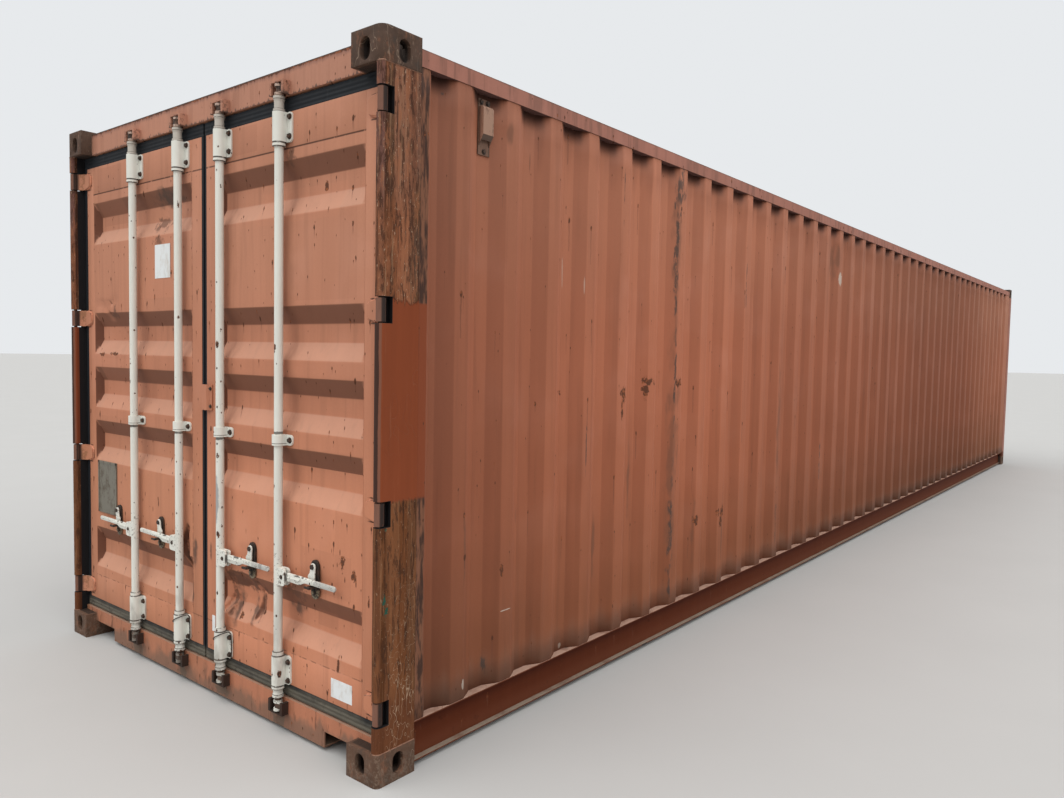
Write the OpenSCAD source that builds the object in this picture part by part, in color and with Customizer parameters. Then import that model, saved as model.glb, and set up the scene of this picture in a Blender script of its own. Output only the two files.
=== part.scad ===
// Forty-foot steel shipping container with a two-leaf cargo door.
// Millimetres. X runs across, Y along with the door end at -Y, Z up.
// The origin is on the ground under the middle of the box.

/* [Overall] */
// Length over the corner fittings
overall_length = 12192; // [8000:1:14000]
// Width over the corner fittings
overall_width = 2438; // [2200:1:2700]
// Height over the corner fittings
overall_height = 2591; // [2400:1:2900]
// How far rails and posts sit behind the fitting faces
face_inset = 3; // [1:0.5:10]

/* [Corner fittings] */
// Along the container
fitting_length = 178; // [170:1:190]
// Across the container
fitting_width = 162; // [155:1:175]
// Height
fitting_height = 118; // [110:1:130]
// Wall of the cast box
fitting_wall = 28; // [15:1:30]
// Rounding of the outer upright edge
fitting_edge = 14; // [4:1:20]
// Twistlock slot, long way
lock_slot_length = 124; // [110:1:130]
// Twistlock slot, short way
lock_slot_width = 63.5; // [55:0.5:70]
// Side and end aperture, tall way
aperture_height = 79; // [60:1:84]
// Side and end aperture, narrow way
aperture_width = 51; // [40:1:60]

/* [Rear posts] */
// Radius of the round post nose, which is also the hinge line
nose_radius = 20; // [16:0.5:24]
// Hinge line behind the end face
hinge_inset = 22; // [20:0.5:30]
// Thick outer plate of the post
post_plate = 12; // [8:0.5:14]
// Inner leg of the J-shaped section
post_leg = 11; // [6:0.5:14]
// Wall of the inner channel
post_channel = 8; // [5:0.5:10]
// Clear face of the inner channel from the side of the box
post_depth = 44; // [40:0.5:50]
// Slot cut in the post for a hinge, above and below its middle
hinge_slot_half = 45; // [44:0.5:60]
// Slot depth from the hinge line
hinge_slot_depth = 34; // [30:0.5:38]

/* [Rear header and sill] */
// Front faces of header and sill behind the end face
header_inset = 54; // [50:0.5:58]
// Depth of the header box
header_depth = 84; // [60:1:110]
// Underside of the header below the fitting tops
header_drop = 116; // [104:1:116]
// Wall of header and sill
header_wall = 5; // [3:0.5:8]
// Depth of the sill section
sill_depth = 84; // [60:1:110]
// Underside of the sill above the ground
sill_bottom = 16; // [10:1:30]
// Top of the sill and of the cross members
sill_top = 140; // [130:1:142]
// Height of the handling cut-outs beside the fittings
cutout_top = 78; // [60:1:100]
// Width of the handling cut-outs
cutout_width = 197; // [150:1:230]

/* [Side rails] */
// Square tube of the top rails
top_rail_size = 60; // [50:1:70]
// Wall of the top rails
top_rail_wall = 3; // [2:0.5:5]
// Top of the top rail below the fitting tops
top_rail_drop = 34; // [30:1:45]
// Underside of the bottom rail above the ground
bottom_rail_bottom = 21; // [12:1:30]
// Height of the bottom rail
bottom_rail_height = 162; // [150:1:170]
// Upper flange of the bottom rail
bottom_rail_flange = 48; // [40:1:60]
// Lower flange of the bottom rail
bottom_rail_lip = 30; // [20:1:40]
// Wall of the bottom rail
bottom_rail_wall = 4.5; // [3:0.5:8]

/* [Walls and roof] */
// Outer flats of the side sheets behind the rail faces
wall_inset = 2; // [0:0.5:6]
// Depth of the side corrugations
side_depth = 36; // [25:1:40]
// Outer flat of a side corrugation
side_outer_flat = 72; // [50:1:110]
// Inner flat of a side corrugation
side_inner_flat = 70; // [50:1:110]
// Slope of a side corrugation
side_slope = 68; // [40:1:90]
// First flat beside the rear post
side_first_flat = 46; // [30:1:80]
// Short slope after the first flat
side_first_slope = 37; // [30:1:68]
// Inner flat of the first recess
side_first_inner = 34; // [20:1:70]
// Side sheet
side_sheet = 1.6; // [1.2:0.1:3]
// Depth of the front wall corrugations
front_depth = 45.6; // [30:0.1:50]
// Outer flat of a front corrugation
front_outer_flat = 110; // [80:1:130]
// Inner flat of a front corrugation
front_inner_flat = 104; // [80:1:130]
// Slope of a front corrugation
front_slope = 18; // [10:1:40]
// Front sheet
front_sheet = 2; // [1.2:0.1:3]
// Depth of the roof troughs
roof_depth = 18; // [10:1:19]
// Pitch of the roof troughs
roof_pitch = 209; // [180:1:260]
// Flat crest between two roof troughs
roof_crest = 91; // [60:1:130]
// Slope of a roof trough
roof_slope = 20; // [10:1:40]
// Roof sheet
roof_sheet = 2; // [1.2:0.1:3]
// Flat part of the roof at each end
roof_end_plate = 260; // [200:1:400]
// Plate between the fittings at each end of the roof
roof_end_sheet = 3; // [2:0.5:6]

/* [Front end] */
// Pressed front post, side leg
front_post_side = 138; // [100:1:178]
// Wall of the front post
front_post_wall = 6; // [4:0.5:8]
// Inward lips of the front post
front_post_lip = 30; // [20:1:50]
// Square tube of the front top rail
front_rail_size = 60; // [50:1:70]

/* [Base] */
// Plywood floor
floor_sheet = 28; // [20:1:35]
// Gap between floor boards
floor_gap = 2; // [1:0.5:5]
// Pressed cross member, flange
cross_flange = 45; // [35:1:60]
// Wall of a cross member
cross_wall = 4; // [3:0.5:6]
// Spacing of the cross members
cross_pitch = 415; // [350:1:500]
// Width of the gooseneck tunnel
tunnel_width = 1029; // [950:1:1100]
// Length of the gooseneck tunnel
tunnel_length = 3300; // [3000:1:3500]
// Height of the gooseneck tunnel roof
tunnel_height = 124; // [100:1:130]
// Tunnel plate
tunnel_plate = 4; // [3:0.5:6]
// Width of a bow on the gooseneck tunnel
tunnel_bow = 80; // [50:1:120]
// Seam between the plates of the gooseneck tunnel
tunnel_seam = 0.3; // [0.1:0.1:0.5]

/* [Doors] */
// Door face behind the end face
door_inset = 61; // [58:0.5:64]
// Thickness of a door leaf
leaf_depth = 50; // [40:1:60]
// Steel edge of a leaf from the middle of the box
leaf_centre_gap = 20; // [15:1:30]
// Steel edge of a leaf from the post face
leaf_side_gap = 37; // [30:1:45]
// Bottom of the leaf above the ground
leaf_bottom = 195; // [190:1:210]
// Top of the leaf below the header
leaf_top_gap = 60; // [50:1:70]
// Stile on the hinge side
hinge_stile = 70; // [60:1:110]
// Stile on the centre side
centre_stile = 80; // [60:1:100]
// Top rail of a leaf
leaf_top_rail = 136; // [110:1:150]
// Bottom rail of a leaf
leaf_bottom_rail = 128; // [110:1:150]
// Wall of the leaf frame
leaf_wall = 3; // [2:0.5:5]
// Door sheet
door_sheet = 2; // [1.6:0.1:3]
// Depth of the door recesses
recess_depth = 36; // [25:1:40]
// Half height of a recess at the face
recess_half = 104; // [90:1:120]
// Half height of a recess at its bottom
recess_bottom_half = 35; // [20:1:60]
// Slope of the recess ends
recess_end_slope = 40; // [20:1:70]
// Spacing of the middle recesses
recess_pitch = 274; // [260:1:290]
// Middle recess below the middle of the leaf
recess_drop = 3; // [0:1:20]
// Outer recesses from the ends of the leaf
recess_end_gap = 282; // [270:1:300]
// Play between a moving gasket and the frame
gasket_play = 6; // [5:0.5:10]
// Front of the gasket behind the door face
gasket_inset = 2; // [1:0.5:6]

/* [Hinges] */
// Lowest hinge above the ground
hinge_first = 257; // [250:1:280]
// Highest hinge below the header
hinge_last_drop = 124; // [122:1:160]
// Outer radius of a hinge knuckle
knuckle_radius = 17; // [14:0.5:18]
// Half height of a hinge knuckle
knuckle_half = 40; // [30:1:40]
// Hinge pin radius
hinge_pin_radius = 8; // [6:0.5:10]
// Play around pins and rods
running_play = 0.08; // [0.02:0.01:0.1]
// Thickness of a hinge blade
blade_thick = 10; // [8:0.5:12]
// Length of the blade on the door
blade_length = 47; // [40:1:70]
// Half height of the blade at its outer end
blade_end_half = 22; // [15:1:23]
// How far a pin goes into the post above and below
pin_seat = 25; // [15:1:40]

/* [Lock rods] */
// Rod centre line behind the end face
rod_inset = 34; // [32:0.5:36]
// Inner rods from the middle of the box
rod_inner = 170; // [150:1:200]
// Outer rods from the middle of the box
rod_outer = 590; // [560:1:640]
// Rod radius
rod_radius = 17; // [14:0.5:19]
// Thinner shaft between rod and cam
shaft_radius = 12; // [8:0.5:14]
// Radius of the two cam discs
cam_radius = 17; // [14:0.5:18]
// Thickness of a cam disc
cam_disc = 10; // [6:0.5:12]
// Reach of the cam finger
cam_reach = 26; // [20:1:27]
// Height of a cam
cam_height = 42; // [34:1:44]
// Half distance between the keeper lugs
keeper_half = 35; // [34:1:50]
// Thickness of a keeper lug
keeper_lug = 11; // [8:1:20]
// Lip at the front of a keeper lug
keeper_lip = 3; // [1:0.5:3]
// Height of a keeper
keeper_height = 50; // [40:1:60]
// Bar that closes the outer end of a keeper
keeper_bar = 5; // [3:0.5:8]
// How far a keeper stands out from the header
keeper_reach = 34; // [30:1:50]
// Wall of a rod bracket around the rod
bracket_wall = 8; // [5:0.5:9]
// Half width of the bracket flanges
bracket_half = 52; // [45:1:60]
// Half width of the middle guide flanges
guide_half = 60; // [50:1:70]
// Flange plate of the brackets
bracket_plate = 7; // [4:0.5:9]
// Height of the upper bracket plate
upper_bracket = 113; // [90:1:130]
// Height of the lower bracket plate
lower_bracket = 115; // [100:1:125]
// Height of the middle guide
guide_height = 41; // [30:1:60]
// Middle guide above the ground
guide_middle = 1162; // [1100:1:1200]

/* [Handles] */
// Handle pin above the ground
handle_level = 632; // [600:1:660]
// Handle pin from the rod centre
handle_pin_offset = 40; // [32:0.5:44]
// Handle pin radius
handle_pin_radius = 6; // [5:0.5:8]
// Handle bar thickness
handle_thick = 9; // [6:0.5:10]
// Deep part of the handle, height
handle_height = 34; // [28:1:38]
// Slim part of the handle, height
grip_height = 21; // [16:1:26]
// End of the deep part from the rod centre
handle_step = 150; // [120:1:170]
// Handle tip from the rod centre
handle_reach = 360; // [300:1:370]
// Thickness of the hub cheeks
ear_thick = 8; // [5:0.5:9]
// Reach of the hub cheeks from the rod centre
cheek_reach = 62; // [52:1:66]
// Half height of the hub cheeks
cheek_half = 34; // [32:1:40]
// Retainer middle from the rod centre
retainer_offset = 207; // [200:1:240]
// Retainer plate width
retainer_width = 45; // [36:1:50]
// Retainer plate, lower end above the ground
retainer_bottom = 572; // [566:1:580]
// Retainer plate, upper end above the ground
retainer_top = 722; // [715:1:740]
// Retainer plate thickness
retainer_plate = 7.5; // [5:0.5:8]
// Catch bolt above the ground
catch_level = 697; // [696:1:705]
// Catch bolt radius
catch_bolt_radius = 6; // [4:0.5:8]
// Catch thickness
catch_thick = 6; // [4:0.5:6]

/* [Small fittings] */
// Lock plate height
lock_plate_height = 110; // [80:1:140]
// Lock plate middle above the ground
lock_plate_level = 1300; // [1280:1:1320]
// Lock plate width
lock_plate_width = 66; // [50:1:80]
// Vent height
vent_height = 210; // [180:1:240]
// Vent width
vent_width = 66; // [50:1:70]
// Vent plate
vent_plate = 4; // [2:0.5:6]

/* [Hidden] */
$fn = 48;
half_l = overall_length / 2;
half_w = overall_width / 2;
face_x = half_w - face_inset;
face_y = half_l - face_inset;
fitting_x = half_w - fitting_width;
fitting_y = half_l - fitting_length;
top_fitting_z = overall_height - fitting_height;

// Rear end, as Y positions
hinge_x = face_x - nose_radius;
hinge_y = -half_l + hinge_inset;
header_y = -half_l + header_inset;
door_y = -half_l + door_inset;
rod_y = -half_l + rod_inset;
post_x = face_x - post_depth;
channel_y = door_y;
header_bottom = overall_height - header_drop;
hinge_last = header_bottom - hinge_last_drop;
hinge_levels = [for (i = [0:3]) hinge_first + i * (hinge_last - hinge_first) / 3];

// Rails and walls
top_rail_z = overall_height - top_rail_drop - top_rail_size;
bottom_rail_z = bottom_rail_bottom + bottom_rail_height;
rail_web_x = face_x - bottom_rail_flange;
wall_x = face_x - wall_inset;
side_pitch = side_outer_flat + side_inner_flat + 2 * side_slope;
side_first_end = -fitting_y + side_first_flat + side_first_slope + side_first_inner + side_slope;
side_end = face_y - front_post_side;
side_count = floor((side_end - side_first_end - side_outer_flat) / side_pitch);
front_x = fitting_x;
front_pitch = front_outer_flat + front_inner_flat + 2 * front_slope;
front_count = floor((2 * front_x - 40) / front_pitch);
front_start = -(front_count * front_pitch - front_outer_flat) / 2;
roof_base = overall_height - top_rail_drop;
roof_top = roof_base + roof_sheet + roof_depth;
roof_first = -half_l + header_inset + roof_end_plate;
roof_count = floor((2 * -roof_first + roof_crest) / roof_pitch);
roof_start = -(roof_count * roof_pitch - roof_crest) / 2;

// Door leaves, as positions on the right-hand side
leaf_in = leaf_centre_gap;
leaf_out = post_x - leaf_side_gap;
leaf_top = header_bottom - leaf_top_gap;
recess_middle = (leaf_bottom + leaf_top) / 2 - recess_drop;
recess_outer = (leaf_top - leaf_bottom) / 2 - recess_end_gap;
recess_levels = [for (d = [-recess_outer, -recess_pitch, 0, recess_pitch, recess_outer]) recess_middle + d];
gasket_out = post_x - gasket_play;
gasket_top = header_bottom - gasket_play;
gasket_bottom = sill_top + gasket_play;
floor_top = sill_top + floor_sheet;
bracket_top = leaf_top - 3;
keeper_top_z = header_bottom;
keeper_bottom_z = sill_top - keeper_height - 10;
cam_gap = keeper_bar + 5;
keeper_seam = 0.3;
catch_y = door_y - retainer_plate - 5 - catch_thick;
handle_y = catch_y - 5 - handle_thick;
corner = 14;
collar_radius = rod_radius + 5;
ring_height = 10;
ring_gap = 6;
lower_top = leaf_bottom + lower_bracket;
shelf_top = handle_level + handle_height / 2 + 3 - grip_height - 5;
ledge_level = shelf_top - 27;

paint = [0.62, 0.35, 0.28];
dark_paint = [0.45, 0.24, 0.18];
cream = [0.80, 0.76, 0.66];
rubber = [0.08, 0.08, 0.08];
iron = [0.35, 0.27, 0.22];
wood = [0.55, 0.42, 0.28];

// A drawing in X and Z, made thick from y0 to y1
module slab_y(y0, y1) {
  translate([0, y1, 0]) rotate([90, 0, 0]) linear_extrude(y1 - y0) children();
}

// A drawing in Y and Z, made thick from x0 to x1
module slab_x(x0, x1) {
  translate([x0, 0, 0]) rotate([90, 0, 90]) linear_extrude(x1 - x0) children();
}

// A drawing in X and Y, made thick from z0 to z1
module slab_z(z0, z1) {
  translate([0, 0, z0]) linear_extrude(z1 - z0) children();
}

module box(x0, x1, y0, y1, z0, z1) {
  translate([x0, y0, z0]) cube([x1 - x0, y1 - y0, z1 - z0]);
}

module rounded_plate(half_width, half_height) {
  square([2 * (half_width - corner), 2 * half_height], center = true);
  square([2 * half_width, 2 * (half_height - corner)], center = true);
  both_sides() for (z = [corner - half_height, half_height - corner]) translate([half_width - corner, z]) circle(r = corner, $fn = 24);
}

module both_sides() {
  children();
  mirror([1, 0, 0]) children();
}

// An upright slot with round ends, in a drawing
module upright_slot(width, height) {
  translate([0, height / 2 - width / 2]) circle(d = width);
  translate([0, width / 2 - height / 2]) circle(d = width);
  square([width, height - width], center = true);
}

// Corner fittings: one hollow cast box with the rounded corner at +X, +Y
module fitting(top) {
  slot_z = top ? fitting_height - fitting_wall : 0;
  mid_z = fitting_height / 2 + (top ? -8 : 4);
  difference() {
    linear_extrude(fitting_height) {
      square([fitting_width - fitting_edge, fitting_length]);
      square([fitting_width, fitting_length - fitting_edge]);
      translate([fitting_width - fitting_edge, fitting_length - fitting_edge]) circle(r = fitting_edge);
    }
    translate([fitting_wall, fitting_wall, fitting_wall])
      cube([fitting_width - 2 * fitting_wall, fitting_length - 2 * fitting_wall, fitting_height - 2 * fitting_wall]);
    translate([fitting_width / 2, fitting_length / 2, slot_z - 1])
      linear_extrude(fitting_wall + 2) upright_slot(lock_slot_width, lock_slot_length);
    translate([0, fitting_length / 2 - 10, mid_z]) slab_x(fitting_width - fitting_wall - 1, fitting_width + 1)
      upright_slot(aperture_width, aperture_height);
    translate([fitting_width / 2 - 8, 0, mid_z]) slab_y(fitting_length - fitting_wall - 1, fitting_length + 1)
      upright_slot(aperture_width, aperture_height);
  }
}

module four_fittings(z, top) {
  both_sides() {
    translate([fitting_x, fitting_y, z]) fitting(top);
    mirror([0, 1, 0]) translate([fitting_x, fitting_y, z]) fitting(top);
  }
}

module bottom_corner_fittings() {
  color(iron) four_fittings(0, false);
}

module top_corner_fittings() {
  color(iron) four_fittings(top_fitting_z, true);
}

// Rear posts: a J-shaped section with a round nose, and a channel that closes it
module rear_post() {
  plate_x = face_x - post_plate;
  difference() {
    slab_z(fitting_height, top_fitting_z) {
      translate([hinge_x, hinge_y]) circle(r = nose_radius);
      translate([plate_x, hinge_y]) square([post_plate, -fitting_y - hinge_y]);
      translate([hinge_x - nose_radius, hinge_y]) square([post_leg, channel_y - hinge_y]);
      difference() {
        translate([post_x, channel_y]) square([plate_x - post_x, -fitting_y - channel_y]);
        translate([post_x + post_channel, channel_y + post_channel])
          square([plate_x - post_x, -fitting_y - channel_y - 2 * post_channel]);
      }
    }
    for (z = hinge_levels) {
      box(post_x - 20, face_x + 1, hinge_y - nose_radius - 1, hinge_y + hinge_slot_depth, z - hinge_slot_half, z + hinge_slot_half);
      translate([hinge_x, hinge_y, z - hinge_slot_half - pin_seat])
        cylinder(r = hinge_pin_radius, h = 2 * (hinge_slot_half + pin_seat));
    }
  }
}

module rear_post_right() {
  color(dark_paint) rear_post();
}

module rear_post_left() {
  color(dark_paint) mirror([1, 0, 0]) rear_post();
}

module hinge_pins() {
  color(iron) both_sides() for (z = hinge_levels)
    translate([hinge_x, hinge_y, z - hinge_slot_half - pin_seat])
      cylinder(r = hinge_pin_radius, h = 2 * (hinge_slot_half + pin_seat));
}

// Pressed front posts with inward lips
module front_post() {
  side_y = face_y - front_post_side;
  slab_z(fitting_height, top_fitting_z) {
    translate([face_x - front_post_wall, side_y]) square([front_post_wall, front_post_side]);
    translate([front_x, face_y - front_post_wall]) square([face_x - front_x, front_post_wall]);
    translate([face_x - front_post_lip, side_y]) square([front_post_lip, front_post_wall]);
    translate([front_x, face_y - front_post_lip - 16]) square([front_post_wall, front_post_lip + 16]);
  }
}

module front_posts() {
  color(dark_paint) both_sides() front_post();
}

// Header: a box section between the top fittings
module door_header() {
  top = roof_top - roof_sheet;
  color(paint) difference() {
    box(-fitting_x, fitting_x, header_y, header_y + header_depth, header_bottom, top);
    box(-fitting_x - 1, fitting_x + 1, header_y + header_wall, header_y + header_depth - header_wall,
      header_bottom + header_wall, top - header_wall);
  }
}

// Sill: a channel open to the inside, with handling cut-outs at its ends
module door_sill() {
  color(paint) difference() {
    box(-fitting_x, fitting_x, header_y, header_y + sill_depth, sill_bottom, sill_top);
    box(-fitting_x - 1, fitting_x + 1, header_y + header_wall, header_y + sill_depth + 1,
      sill_bottom + header_wall, sill_top - header_wall);
    both_sides() box(fitting_x - cutout_width, fitting_x + 1, header_y - 1, header_y + sill_depth + 1,
      sill_bottom - 1, cutout_top);
  }
  color(paint) both_sides() box(fitting_x, post_x, header_y, header_y + sill_depth, fitting_height, sill_top);
}

module top_side_rails() {
  x0 = face_x - top_rail_size;
  color(paint) both_sides() difference() {
    box(x0, face_x, -fitting_y, fitting_y, top_rail_z, roof_base);
    box(x0 + top_rail_wall, face_x - top_rail_wall, -fitting_y - 1, fitting_y + 1,
      top_rail_z + top_rail_wall, roof_base - top_rail_wall);
  }
}

// Bottom rails: channels open to the outside, with a wide upper flange
module bottom_side_rails() {
  color(dark_paint) both_sides() {
    box(rail_web_x, rail_web_x + bottom_rail_wall, -fitting_y, fitting_y, bottom_rail_bottom, bottom_rail_z);
    box(rail_web_x, face_x, -fitting_y, fitting_y, bottom_rail_z - bottom_rail_wall, bottom_rail_z);
    box(rail_web_x, rail_web_x + bottom_rail_lip, -fitting_y, fitting_y, bottom_rail_bottom,
      bottom_rail_bottom + bottom_rail_wall);
  }
}

module front_top_rail() {
  y0 = face_y - front_rail_size;
  color(paint) difference() {
    box(-fitting_x, fitting_x, y0, face_y, top_rail_z, roof_base + roof_depth);
    box(-fitting_x - 1, fitting_x + 1, y0 + top_rail_wall, face_y - top_rail_wall,
      top_rail_z + top_rail_wall, roof_base + roof_depth - top_rail_wall);
  }
}

// Front sill: a channel open to the inside, cut for the gooseneck tunnel
module front_sill() {
  y0 = face_y - sill_depth;
  half = tunnel_width / 2;
  color(paint) difference() {
    box(-fitting_x, fitting_x, y0, face_y, bottom_rail_bottom, bottom_rail_z);
    box(-fitting_x - 1, fitting_x + 1, y0 - 1, face_y - header_wall, bottom_rail_bottom + header_wall,
      bottom_rail_z - header_wall);
    box(-half, half, y0 - 1, face_y + 1, bottom_rail_bottom - 1, tunnel_height);
  }
}

// Corrugated side sheet seen from above, as its outer line from the rear post to the front post
function side_recess(y, lead) = [[wall_x, y], [wall_x - side_depth, y + lead],
  [wall_x - side_depth, y + lead + (lead == side_slope ? side_inner_flat : side_first_inner)],
  [wall_x, y + lead + (lead == side_slope ? side_inner_flat : side_first_inner) + side_slope]];
side_line = concat([[wall_x, -fitting_y]],
  side_recess(-fitting_y + side_first_flat, side_first_slope),
  [for (i = [0:side_count - 1]) each side_recess(side_first_end + side_outer_flat + i * side_pitch, side_slope)],
  [[wall_x, side_end]]);

module side_wall() {
  last = len(side_line) - 1;
  difference() {
    slab_z(bottom_rail_z, top_rail_z)
      polygon(concat(side_line, [for (i = [last:-1:0]) side_line[i] - [side_sheet, 0]]));
    box(fitting_x, half_w, fitting_y, half_l, top_fitting_z, overall_height);
  }
}

module side_wall_right() {
  color(dark_paint) side_wall();
}

module side_wall_left() {
  color(dark_paint) mirror([1, 0, 0]) side_wall();
}

// Corrugated front sheet seen from above
front_face = face_y - wall_inset;
front_line = concat([[-front_x, front_face]],
  [for (i = [0:front_count - 1]) let (x = front_start + i * front_pitch)
    each [[x, front_face], [x + front_slope, front_face - front_depth],
      [x + front_slope + front_inner_flat, front_face - front_depth], [x + 2 * front_slope + front_inner_flat, front_face]]],
  [[front_x, front_face]]);

module front_wall() {
  last = len(front_line) - 1;
  color(dark_paint) slab_z(bottom_rail_z, top_rail_z)
    polygon(concat(front_line, [for (i = [last:-1:0]) front_line[i] - [0, front_sheet]]));
}

// Roof: one sheet with pressed troughs that run across and stop short of the rails
roof_line = concat([[-fitting_y, roof_base + roof_depth]],
  [for (i = [0:roof_count - 1]) let (y = roof_start + i * roof_pitch, w = roof_pitch - roof_crest - 2 * roof_slope)
    each [[y, roof_base + roof_depth], [y + roof_slope, roof_base], [y + roof_slope + w, roof_base], [y + 2 * roof_slope + w, roof_base + roof_depth]]],
  [[fitting_y, roof_base + roof_depth]]);

module roof_body(drop) {
  edge = face_x - 8;
  last = len(roof_line) - 1;
  translate([0, 0, -drop]) intersection() {
    slab_x(-edge, edge) polygon(concat([for (p = roof_line) p + [0, roof_sheet]],
      [[fitting_y, roof_base - 30], [-fitting_y, roof_base - 30]]));
    slab_y(-fitting_y, fitting_y) polygon([[-edge, roof_base - 30], [edge, roof_base - 30], [edge, roof_base + roof_sheet],
      [edge - 30, roof_base + roof_sheet], [edge - 80, roof_top], [80 - edge, roof_top],
      [30 - edge, roof_base + roof_sheet], [-edge, roof_base + roof_sheet]]);
  }
}

module roof_panel() {
  color(dark_paint) difference() {
    roof_body(0);
    roof_body(roof_sheet);
    box(-half_w, half_w, -half_l, half_l, roof_base - 60, roof_base);
  }
}

// End plates of the roof between the top fittings, on the header and on the front top rail
module roof_end_plates() {
  z = roof_base + roof_depth;
  color(dark_paint) {
    box(-fitting_x, fitting_x, header_y, -fitting_y, z, z + roof_end_sheet);
    box(-fitting_x, fitting_x, fitting_y, face_y, z, z + roof_end_sheet);
  }
}

// Pressed channel across the base, from x0 to x1, with its web at y
module cross_channel(x0, x1, y) {
  box(x0, x1, y, y + cross_wall, bottom_rail_bottom, sill_top);
  box(x0, x1, y, y + cross_flange, sill_top - cross_wall, sill_top);
  box(x0, x1, y, y + cross_flange, bottom_rail_bottom, bottom_rail_bottom + cross_wall);
}

tunnel_y = face_y - tunnel_length;
base_start = header_y + sill_depth + 130;
cross_count = floor((tunnel_y - base_start - cross_flange) / cross_pitch);
outrigger_count = floor((face_y - sill_depth - tunnel_y - cross_flange) / cross_pitch);
outrigger_step = (face_y - sill_depth - tunnel_y) / (outrigger_count + 1);

module cross_members() {
  color(dark_paint) {
    for (i = [0:cross_count]) cross_channel(-rail_web_x, rail_web_x, base_start + i * (tunnel_y - base_start - cross_flange) / cross_count);
    both_sides() for (i = [1:outrigger_count])
      cross_channel(tunnel_width / 2 + tunnel_plate, rail_web_x, tunnel_y + i * outrigger_step - cross_flange);
  }
}

// Gooseneck tunnel: a plate roof on two side plates, with flat bows under the floor
module gooseneck_tunnel() {
  half = tunnel_width / 2;
  roof = tunnel_height + tunnel_plate;
  color(dark_paint) {
    box(-half - tunnel_plate, half + tunnel_plate, tunnel_y, face_y - sill_depth, tunnel_height, roof);
    both_sides() box(half, half + tunnel_plate, tunnel_y, face_y - sill_depth, bottom_rail_bottom, tunnel_height - tunnel_seam);
    for (i = [0:outrigger_count]) box(-half, half, tunnel_y + i * outrigger_step, tunnel_y + i * outrigger_step + tunnel_bow,
      roof + tunnel_seam, sill_top);
  }
}

// Plywood boards in two rows on the cross members
floor_x = rail_web_x - 2;
floor_start = header_y + sill_depth - 17;
floor_end = face_y - wall_inset - front_depth - front_sheet - 6;
board_count = 5;

module floor_boards() {
  step = (floor_end - floor_start) / board_count;
  color(wood) both_sides() for (i = [0:board_count - 1])
    box(floor_gap / 2, floor_x, floor_start + i * step, floor_start + (i + 1) * step - floor_gap, sill_top, floor_top);
}

// Vents: a plate in a side recess with a hood that opens downwards
vent_y = side_first_end + side_outer_flat + side_slope + side_inner_flat / 2;
vent_far_y = vent_y + (side_count - 1) * side_pitch;
vent_top = top_rail_z - 18;

module hood_side(grow) {
  x0 = wall_x - side_depth + vent_plate;
  polygon([[x0, vent_top - 30 - grow], [x0 + 18 - grow, vent_top - 30 - grow], [x0 + 24 - grow, vent_top - 38 - grow],
    [x0 + 24 - grow, vent_top - 136 - grow], [x0, vent_top - 176 - grow]]);
}

module vent(y) {
  x0 = wall_x - side_depth;
  half = vent_width / 2;
  box(x0, x0 + vent_plate, y - half, y + half, vent_top - vent_height, vent_top);
  difference() {
    slab_y(y - half + 4, y + half - 4) hood_side(0);
    slab_y(y - half + 7, y + half - 7) hood_side(3);
  }
}

module wall_vents() {
  color(paint) {
    vent(vent_y);
    mirror([1, 0, 0]) vent(vent_far_y);
  }
}

// Door leaves: hollow stiles, channel rails and a pressed sheet with trapezoid recesses
module pressed_recess(x0, x1, z, grow) {
  top = recess_half + grow;
  bottom = recess_bottom_half + grow;
  y1 = door_y + recess_depth + grow;
  intersection() {
    slab_x(x0 - grow, x1 + grow) polygon([[door_y - 1, z - top], [door_y - 1, z + top], [door_y, z + top], [y1, z + bottom],
      [y1, z - bottom], [door_y, z - top]]);
    slab_z(z - top, z + top) polygon([[x0 - grow, door_y - 1], [x1 + grow, door_y - 1], [x1 + grow, door_y],
      [x1 + grow - recess_end_slope, y1], [x0 - grow + recess_end_slope, y1], [x0 - grow, door_y]]);
  }
}

module door_leaf() {
  y1 = door_y + leaf_depth;
  sheet_in = leaf_in + centre_stile;
  sheet_out = leaf_out - hinge_stile;
  sheet_bottom = leaf_bottom + leaf_bottom_rail;
  sheet_top = leaf_top - leaf_top_rail;
  difference() {
    box(leaf_in, sheet_in, door_y, y1, leaf_bottom, leaf_top);
    box(leaf_in + leaf_wall, sheet_in - leaf_wall, door_y + leaf_wall, y1 - leaf_wall, leaf_bottom + leaf_wall, leaf_top - leaf_wall);
  }
  difference() {
    box(sheet_out, leaf_out, door_y, y1, leaf_bottom, leaf_top);
    box(sheet_out + leaf_wall, leaf_out - leaf_wall, door_y + leaf_wall, y1 - leaf_wall, leaf_bottom + leaf_wall, leaf_top - leaf_wall);
  }
  for (z = [[leaf_bottom, sheet_bottom], [sheet_top, leaf_top]]) difference() {
    box(sheet_in, sheet_out, door_y, y1, z[0], z[1]);
    box(sheet_in - 1, sheet_out + 1, door_y + leaf_wall, y1 + 1, z[0] + leaf_wall, z[1] - leaf_wall);
  }
  difference() {
    union() {
      box(sheet_in, sheet_out, door_y, door_y + door_sheet, sheet_bottom, sheet_top);
      for (z = recess_levels) intersection() {
        pressed_recess(sheet_in + door_sheet, sheet_out - door_sheet, z, door_sheet);
        box(sheet_in, sheet_out, door_y, y1, sheet_bottom, sheet_top);
      }
    }
    for (z = recess_levels) pressed_recess(sheet_in + door_sheet, sheet_out - door_sheet, z, 0);
  }
}

module door_leaf_right() {
  color(paint) door_leaf();
}

module door_leaf_left() {
  color(paint) mirror([1, 0, 0]) door_leaf();
}

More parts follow.
